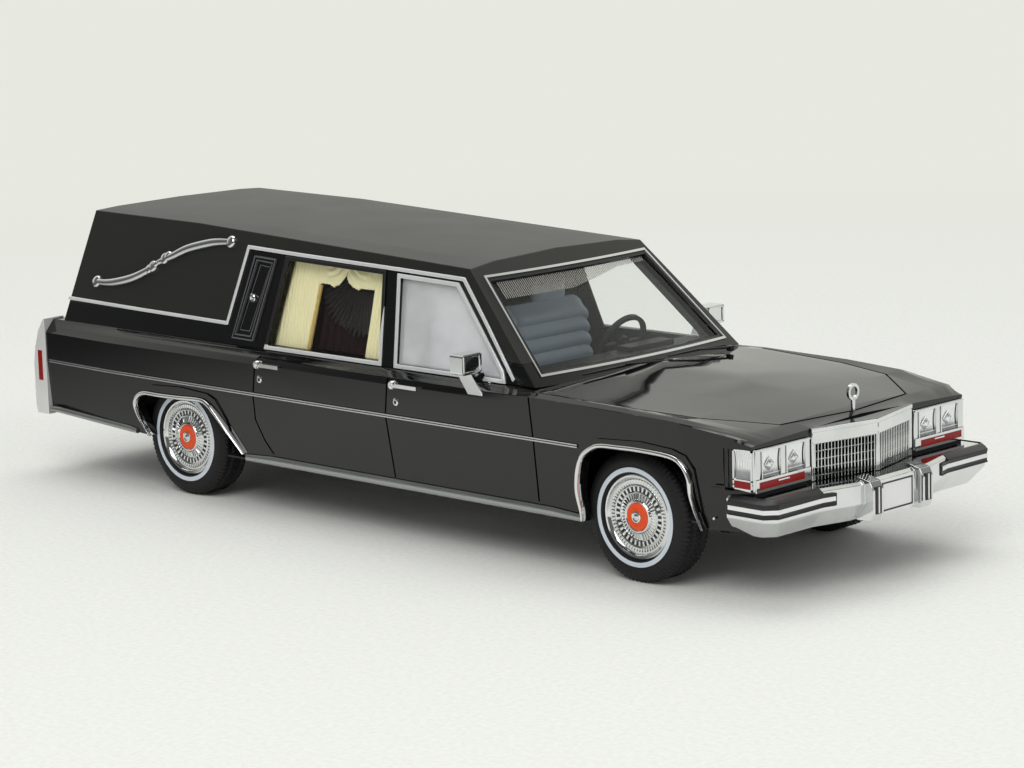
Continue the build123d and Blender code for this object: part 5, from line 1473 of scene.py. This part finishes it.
@dataclass
class SideFittings:
    """Landau bars, door locks, panel buttons, painted highlight lines on the quarters and mirrors on both sides.

    Args:
        bar_line: middle line of a landau bar in the side view.
        clasp_lean: rise of the clasp's line of scrolls for each millimetre along the car.
    """

    bar_line: tuple[Flat, ...] = (
        (-59.65, 28.7), (-57.2, 28.75), (-54.75, 29.1), (-51.55, 29.9), (-48.45, 31.2), (-46.45, 32.4),
        (-43.45, 33.6), (-40.45, 34.8), (-36.35, 35.8), (-34.0, 36.15), (-31.75, 36.3),
    )
    clasp_lean: float = 0.55

    def build(self) -> None:
        """Makes both sides."""
        for side in Side:
            self._landau(side)
            self._locks(side)
            self._quarter_highlights(side)
        self._mirrors()

    def _landau(self, side: Side) -> None:
        """An S-shaped tapered bar with a knob at each end and a clasp of two scrolls."""
        s = side.value
        sculpt = Sculpt(f"landau_bar_{side.word}")
        dense = smooth_curve(self.bar_line, 6)
        middle = (len(dense) - 1) // 2
        path, radii = [], []
        for i, (x, z) in enumerate(dense):
            away = abs(i - middle) / middle
            path.append((x, s * (wall(z) + 0.32), z))
            radii.append(0.40 + 0.20 * math.sin(min(away, 1.0) * math.pi) ** 0.8)
        sculpt.tube(path, radii, CHROME, sides=12, flat=0.62)
        for x, z in (self.bar_line[0], self.bar_line[-1]):
            self._knob(sculpt, x, z, s, 0.88)
        x, z = dense[middle]
        for step, radius in ((-1.9, 0.70), (-1.15, 0.84), (1.15, 0.84), (1.9, 0.70)):
            self._knob(sculpt, x + step, z + step * self.clasp_lean, s, radius)
        self._knob(sculpt, x, z, s, 0.42)
        sculpt.build(Body.CAR, "chrome", smooth_deg=50, replaces=["landau_bars"] if side is Side.LEFT else [])

    def _knob(self, sculpt: Sculpt, x: float, z: float, s: int, radius: float) -> None:
        """A domed knob that sits on the greenhouse's side."""
        rows = []
        for share, out in ((1.0, 0.0), (1.0, 0.22), (0.9, 0.42), (0.68, 0.56), (0.40, 0.63), (0.06, 0.66)):
            row = []
            for c, n in round_steps(20):
                u, w = x + radius * share * c, z + radius * share * n
                row.append((u, s * (wall(w) + out), w))
            rows.append(row)
        sculpt.grid(rows, CHROME, closed=True)
        sculpt.face(rows[-1], CHROME)

    def _locks(self, side: Side) -> None:
        """Round locks under the handles, the panel's button, a marker line and dots."""
        s = side.value
        sculpt = Sculpt(f"side_details_{side.word}")
        for x, z in ((-20.55, 18.9), (6.25, 18.7)):
            self._disc(sculpt, x, z, s * 22.12, s, 0.5, 0.24, CHROME)
            self._disc(sculpt, x, z, s * 22.34, s, 0.22, 0.04, BLACK_TRIM)
        for x, z in ((-20.6, 20.95), (6.0, 20.95)):
            self._disc(sculpt, x, z, s * 22.1, s, 0.62, 0.72, CHROME)
        self._disc(sculpt, -25.6, 29.2, s * wall(29.2), s, 0.62, 0.45, CHROME)
        sculpt.side_box(s, (60.0, 21.95, 14.25), (61.5, 22.12, 14.38), BLACK_TRIM)
        self._disc(sculpt, 59.95, 10.3, s * 21.5, s, 0.16, 0.1, CHROME)
        sculpt.build(Body.CAR, "chrome")

    def _quarter_highlights(self, side: Side) -> None:
        """Painted highlights: thin grey lines round the quarter panel's frame and round its recess, where light catches
        their edges.
        """
        sculpt = Sculpt(f"quarter_highlight_lines_{side.word}")
        corners = ((-28.6, 23.55, 1, 1), (-24.23, 23.5, -1, 1),
                   (-21.96, 34.69, -1, -1), (-26.33, 34.85, 1, -1))
        for start, width, proud in ((0.0, 0.17, 0.36), (0.50, 0.14, 0.36), (1.15, 0.10, 0.06)):
            rings = []
            for inset, out in ((start, -0.1), (start, proud), (start + width, proud), (start + width, -0.1)):
                rings.append([(x + i * inset, side.value * (wall(z + k * inset) + out), z + k * inset)
                              for x, z, i, k in corners])
            sculpt.grid(rings, QUARTER_EDGE_HIGHLIGHT, closed=True)
        sculpt.build(Body.CAR, "chrome")

    @staticmethod
    def _disc(sculpt: Sculpt, x: float, z: float, y: float, s: int, radius: float, proud: float,
              finish: Finish) -> None:
        """A low round boss on the car's side."""
        rows = [[(x + radius * share * c, y + s * out, z + radius * share * n) for c, n in round_steps(18)]
                for share, out in ((1.0, -0.1), (1.0, proud * 0.7), (0.8, proud), (0.45, proud),
                                   (0.3, proud * 0.8), (0.03, proud))]
        sculpt.grid(rows, finish, closed=True)

    def _mirrors(self) -> None:
        """Bright shells round the mirrors' heads, with dark glass at the rear and ribbed feet."""
        for side in Side:
            s = side.value
            sculpt = Sculpt(f"mirror_face_{side.word}")
            sculpt.side_box(s, (19.72, 22.25, 24.5), (19.84, 25.05, 26.55), SILVER_BOWL)
            self._rim(sculpt, 22.02, s)
            for k in range(4):
                sculpt.side_box(s, (19.75, 20.5 + k * 0.42, 22.3), (22.15, 20.72 + k * 0.42, 22.75 + k * 0.22),
                                CHROME)
            sculpt.build(Body.CAR, "chrome", bevel_mm=0.06)

    @staticmethod
    def _rim(sculpt: Sculpt, x: float, s: int) -> None:
        """Raised rim on the front of a mirror's head."""
        for (y, z), (u, w) in (((22.05, 24.35), (25.2, 24.62)), ((22.05, 26.4), (25.2, 26.66)),
                               ((22.05, 24.35), (22.35, 26.66)), ((24.9, 24.35), (25.2, 26.66))):
            sculpt.side_box(s, (x - 0.1, y, z), (x + 0.1, u, w), CHROME)


@dataclass
class BrightEdges:
    """Slim rounded sill mouldings and arch lips, in place of the flat ones.

    Args:
        front_arch: outline of the front arch, forward of its axle and above the floor, by tyre radius.
        rear_arch: outline of the rear arch, in the same way.
    """

    front_arch: tuple[Flat, ...] = (
        (-0.875, 0.86), (-0.875, 1.02), (-0.905, 1.30), (-0.865, 1.58), (-0.79, 1.82), (-0.65, 1.95),
        (-0.44, 2.04), (-0.05, 2.06), (0.35, 2.07), (0.90, 2.05), (1.12, 1.98), (1.26, 1.80), (1.305, 1.55),
        (1.39, 1.28), (1.485, 1.04),
    )
    rear_arch: tuple[Flat, ...] = (
        (1.71, 0.94), (1.40, 1.25), (1.09, 1.55), (0.90, 1.69), (0.72, 1.735), (0.20, 1.715), (-0.33, 1.70),
        (-0.70, 1.70), (-0.87, 1.64), (-0.955, 1.53), (-0.92, 1.37), (-0.81, 1.17), (-0.70, 0.985),
    )

    def build(self) -> None:
        """Makes the mouldings and the lips of both sides in two pieces."""
        lips = Sculpt("arch_edges")
        sills = Sculpt("sill_edges")
        for side in Side:
            for axle_x, shares in ((FRONT_AXLE_X, self.front_arch), (REAR_AXLE_X, self.rear_arch)):
                line = [(axle_x + u * TYRE_RADIUS, w * TYRE_RADIUS) for u, w in shares]
                self._lip(lips, smooth_curve(line, 5), side.value)
            self._sill(sills, (-24.6, 38.5), (7.0, 7.0), 1.2, side.value)
            self._sill(sills, (-68.1, -48.2), (9.2, 8.1), 0.85, side.value)
        lips.build(Body.CAR, "chrome", smooth_deg=50, replaces=["arch_lips"])
        sills.build(Body.CAR, "chrome", smooth_deg=50, replaces=["sill_mouldings"])

    @staticmethod
    def skin(z: float) -> float:
        """Half width of the body's side at a height, arch flares included."""
        return 21.7 + 0.5 * min(max((z - 7.0) / 6.0, 0.0), 1.0) + 0.18 * min(max((z - 8.0) / 3.0, 0.0), 1.0)

    def _lip(self, sculpt: Sculpt, line: Sequence[Flat], s: int) -> None:
        """A half-round strip along an arch, narrow at its ends."""
        rows: list[list[Point]] = []
        for i, (x, z) in enumerate(line):
            along = direction(line, i)
            share = min(i, len(line) - 1 - i) / (len(line) * 0.22)
            width = 0.26 + 0.34 * min(share, 1.0)
            row = []
            for across, out in ((0.0, -0.5), (0.0, 0.14), (0.2, 0.27), (0.55, 0.32), (0.85, 0.24),
                                (1.0, 0.06), (1.0, -0.3)):
                du, dw = along.y * width * across, along.x * width * across
                u, w = x + du, z - dw
                if self._below(line, x, z, u, w):
                    u, w = x - du, z + dw
                row.append((u, s * (self.skin(z) + out), w))
            rows.append(row)
        sculpt.capped(rows, CHROME)

    @staticmethod
    def _below(line: Sequence[Flat], x: float, z: float, u: float, w: float) -> bool:
        """Whether a moved point lies nearer the wheel's centre than the arch does."""
        middle_x = (line[0][0] + line[-1][0]) / 2
        return math.hypot(u - middle_x, w - TYRE_RADIUS) < math.hypot(x - middle_x, z - TYRE_RADIUS)

    def _sill(self, sculpt: Sculpt, span: Flat, feet: Flat, height: float, s: int) -> None:
        """A rounded moulding along the foot of the side."""
        rows: list[list[Point]] = []
        for k in range(13):
            share = k / 12
            x, z = span[0] + (span[1] - span[0]) * share, feet[0] + (feet[1] - feet[0]) * share
            tall = height * (0.75 if k in (0, 12) else 1.0)
            rows.append([(x, s * y, z + tall * up) for y, up in (
                (21.3, 0.0), (21.68, 0.0), (21.84, 0.12), (21.90, 0.45), (21.86, 0.80), (21.72, 1.0),
                (21.3, 1.0))])
        sculpt.capped(rows, SATIN_ALUMINIUM)


@dataclass
class Underbody:
    """Floor pan with rails, exhaust, springs, sump and the two screw bosses.

    Args:
        pan_z: underside of the pan.
        pan_top_z: top of the pan.
        half_width: half width of the pan.
        well_y: inner side of the wheel wells.
        low_z: foot of the screw bosses.
    """

    pan_z: float = 6.72
    pan_top_z: float = 7.0
    half_width: float = 20.4
    well_y: float = 14.0
    low_z: float = 5.4

    def build(self) -> None:
        """Makes the underside in one piece."""
        sculpt = Sculpt("floor_pan")
        pan = BASE_PLASTIC
        sculpt.box((-48.7, -self.well_y, self.pan_z), (55.4, self.well_y, self.pan_top_z), pan)
        sculpt.box((-64.0, -self.half_width, 8.5), (-48.7, self.half_width, 8.8), pan)
        sculpt.box((55.4, -self.half_width, 9.0), (60.0, self.half_width, 9.3), pan)
        for x in (-48.7, 55.4):
            sculpt.box((x - 0.2, -self.well_y, self.pan_z), (x + 0.2, self.well_y, 9.2), pan)
        for s in (1, -1):
            sculpt.side_box(s, (-30.0, self.well_y, self.pan_z), (36.6, self.half_width, self.pan_top_z), pan)
        for s in (1, -1):
            sculpt.hexahedron(self._tray((-48.5, s * 9.7 - 0.7), (55.0, s * 9.7 + 0.7), 5.9, 0.15), pan)
            self._spring(sculpt, s * 11.9)
            for axle_x in (FRONT_AXLE_X, REAR_AXLE_X):
                sculpt.box((axle_x - 1.9, s * 12.5 - 0.8, self.pan_z),
                           (axle_x + 1.9, s * 12.5 + 0.8, 10.4), pan)
        for x in (-47.0, -30.0, -14.0, 4.0, 33.0, 54.0):
            sculpt.hexahedron(self._tray((x - 0.9, -12.8), (x + 0.9, 12.8), 6.1, 0.2), pan)
        for x in range(-26, 34, 4):
            for s in (1, -1):
                low, high = sorted((s * 12.0, s * 19.2))
                sculpt.hexahedron(self._tray((x - 0.35, low), (x + 0.35, high), 6.45, 0.12), pan)
        sculpt.hexahedron(self._tray((38.5, -3.4), (54.0, 3.4), 5.3, 0.9), pan)
        sculpt.tube([(37.5, 0, 6.6), (33.0, 0, 6.4), (28.5, 0, 6.3)], [1.9, 1.5, 1.0], pan, sides=16)
        sculpt.tube([(18.5, 0, 6.25), (-36.0, 0, 6.3)], [0.5, 0.5], AXLE_STEEL, sides=12)
        sculpt.tube([(-36.4, 0, 6.7), (-37.6, 0, 6.7), (-39.3, 0, 6.8), (-41.1, 0, 6.8), (-41.9, 0, 6.9)],
                    [0.8, 1.4, 1.75, 1.3, 0.5], pan, sides=16)
        sculpt.tube([(REAR_AXLE_X, -12.0, 7.2), (REAR_AXLE_X, 12.0, 7.2)], [0.85, 0.85], pan, sides=12)
        sculpt.hexahedron(self._tray((-48.5, 1.8), (-44.0, 8.6), 5.4, 0.35), pan)
        self._exhaust(sculpt)
        for x in SCREW_PLACES_X:
            self._boss(sculpt, x)
        sculpt.build(Body.CAR, "base_plastic", smooth_deg=40, replaces=["base_plate"], bevel_mm=0.06)

    def _tray(self, low: Flat, high: Flat, z: float, taper: float) -> list[Point]:
        """Corners of a block under the pan, narrower at its foot."""
        (x, y), (u, v) = low, high
        foot = [(x + taper, y + taper), (u - taper, y + taper),
                (u - taper, v - taper), (x + taper, v - taper)]
        head = [(x, y), (u, y), (u, v), (x, v)]
        return [(a, b, z) for a, b in foot] + [(a, b, self.pan_z) for a, b in head]

    def _spring(self, sculpt: Sculpt, y: float) -> None:
        """A leaf spring of three leaves under the rear axle."""
        for leaf in range(3):
            reach = 11.0 - 3.0 * leaf
            rows = []
            for k in range(17):
                u = -1 + k / 8
                z = 5.75 - 0.22 * leaf + 0.75 * (u * reach / 11.0) ** 2
                x = REAR_AXLE_X + u * reach
                rows.append([(x, y - 0.5, z), (x, y + 0.5, z), (x, y + 0.5, z + 0.18), (x, y - 0.5, z + 0.18)])
            sculpt.capped(rows, AXLE_STEEL, closed=True)

    def _exhaust(self, sculpt: Sculpt) -> None:
        """Pipe, silencer and tail pipe along the right side."""
        pipe = [(37.0, -4.2, 6.2), (33.0, -6.0, 6.1), (29.0, -7.2, 6.1), (20.0, -7.4, 6.1), (2.0, -7.4, 6.1),
                (-27.0, -7.4, 6.1), (-30.0, -6.9, 6.0), (-34.0, -5.4, 5.9), (-44.0, -5.2, 5.9), (-48.0, -6.4, 6.0),
                (-52.0, -7.4, 6.1), (-63.2, -7.6, 6.0)]
        sculpt.tube(pipe, [0.42] * len(pipe), AXLE_STEEL, sides=12)
        sculpt.tube([(9.2, -7.4, 6.1), (8.6, -7.4, 6.1), (-3.4, -7.4, 6.1), (-4.0, -7.4, 6.1)],
                    [0.6, 1.0, 1.0, 0.6], AXLE_STEEL, sides=16, flat=1.6)
        sculpt.tube([(-20.0, -7.4, 6.1), (-20.6, -7.4, 6.1), (-25.4, -7.4, 6.1), (-26.0, -7.4, 6.1)],
                    [0.5, 0.85, 0.85, 0.5], AXLE_STEEL, sides=16)

    def _boss(self, sculpt: Sculpt, x: float) -> None:
        """A round boss with the hole for a plinth's screw."""
        head, foot = (8.6 if x < 0 else self.pan_z), self.low_z
        rows = [[(x + radius * c, radius * n, z) for c, n in round_steps(40)]
                for radius, z in ((2.9, head), (2.6, self.pan_z - 0.25), (2.6, foot), (1.35, foot),
                                  (1.25, foot + 0.1), (1.25, foot + 1.35), (0.05, foot + 1.35))]
        sculpt.grid(rows, BASE_PLASTIC, closed=True)


@dataclass
class Tail:
    """Handle, hinges and step pad at the rear.

    Args:
        tail_x: rear face of the body.
    """

    tail_x: float = -68.6

    def build(self) -> None:
        """Makes the rear door's handle and hinges, and the step pad on the bumper."""
        sculpt = Sculpt("rear_door_fittings")
        sculpt.box((self.tail_x - 0.35, -13.6, 19.6), (self.tail_x, -10.0, 20.2), CHROME)
        sculpt.box((self.tail_x - 0.5, -10.9, 19.45), (self.tail_x - 0.2, -10.1, 20.35), CHROME)
        for z in (15.2, 20.4):
            sculpt.box((self.tail_x - 0.3, 15.1, z), (self.tail_x, 15.9, z + 1.3), CHROME)
        sculpt.build(Body.CAR, "chrome", bevel_mm=0.08)
        pad = Sculpt("rear_step_pad")
        for k in range(9):
            y = -12.0 + k * 3.0
            pad.box((-71.3, y - 1.2, 13.5), (-69.2, y + 1.2, 13.62), BLACK_TRIM)
        for s in (1, -1):
            pad.side_box(s, (-71.66, 4.0, 11.3), (-71.48, 17.8, 12.6), BLACK_TRIM)
        pad.build(Body.CAR, "base_plastic", bevel_mm=0.04)


def main() -> None:
    """Loads the frame, dresses the model and sets the studio."""
    logging.basicConfig(level=logging.INFO, format="%(message)s")
    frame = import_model()
    Studio().build()
    CastBody().dress(frame)
    for part in (RoadWheels(), Nose(), SideWindows(), Cabin(), ScreenFittings(), SideFittings(), BrightEdges(),
                 Underbody(), Tail()):
        part.build()
        log.info("built %s", type(part).__name__)


if __name__ == "__main__":
    main()
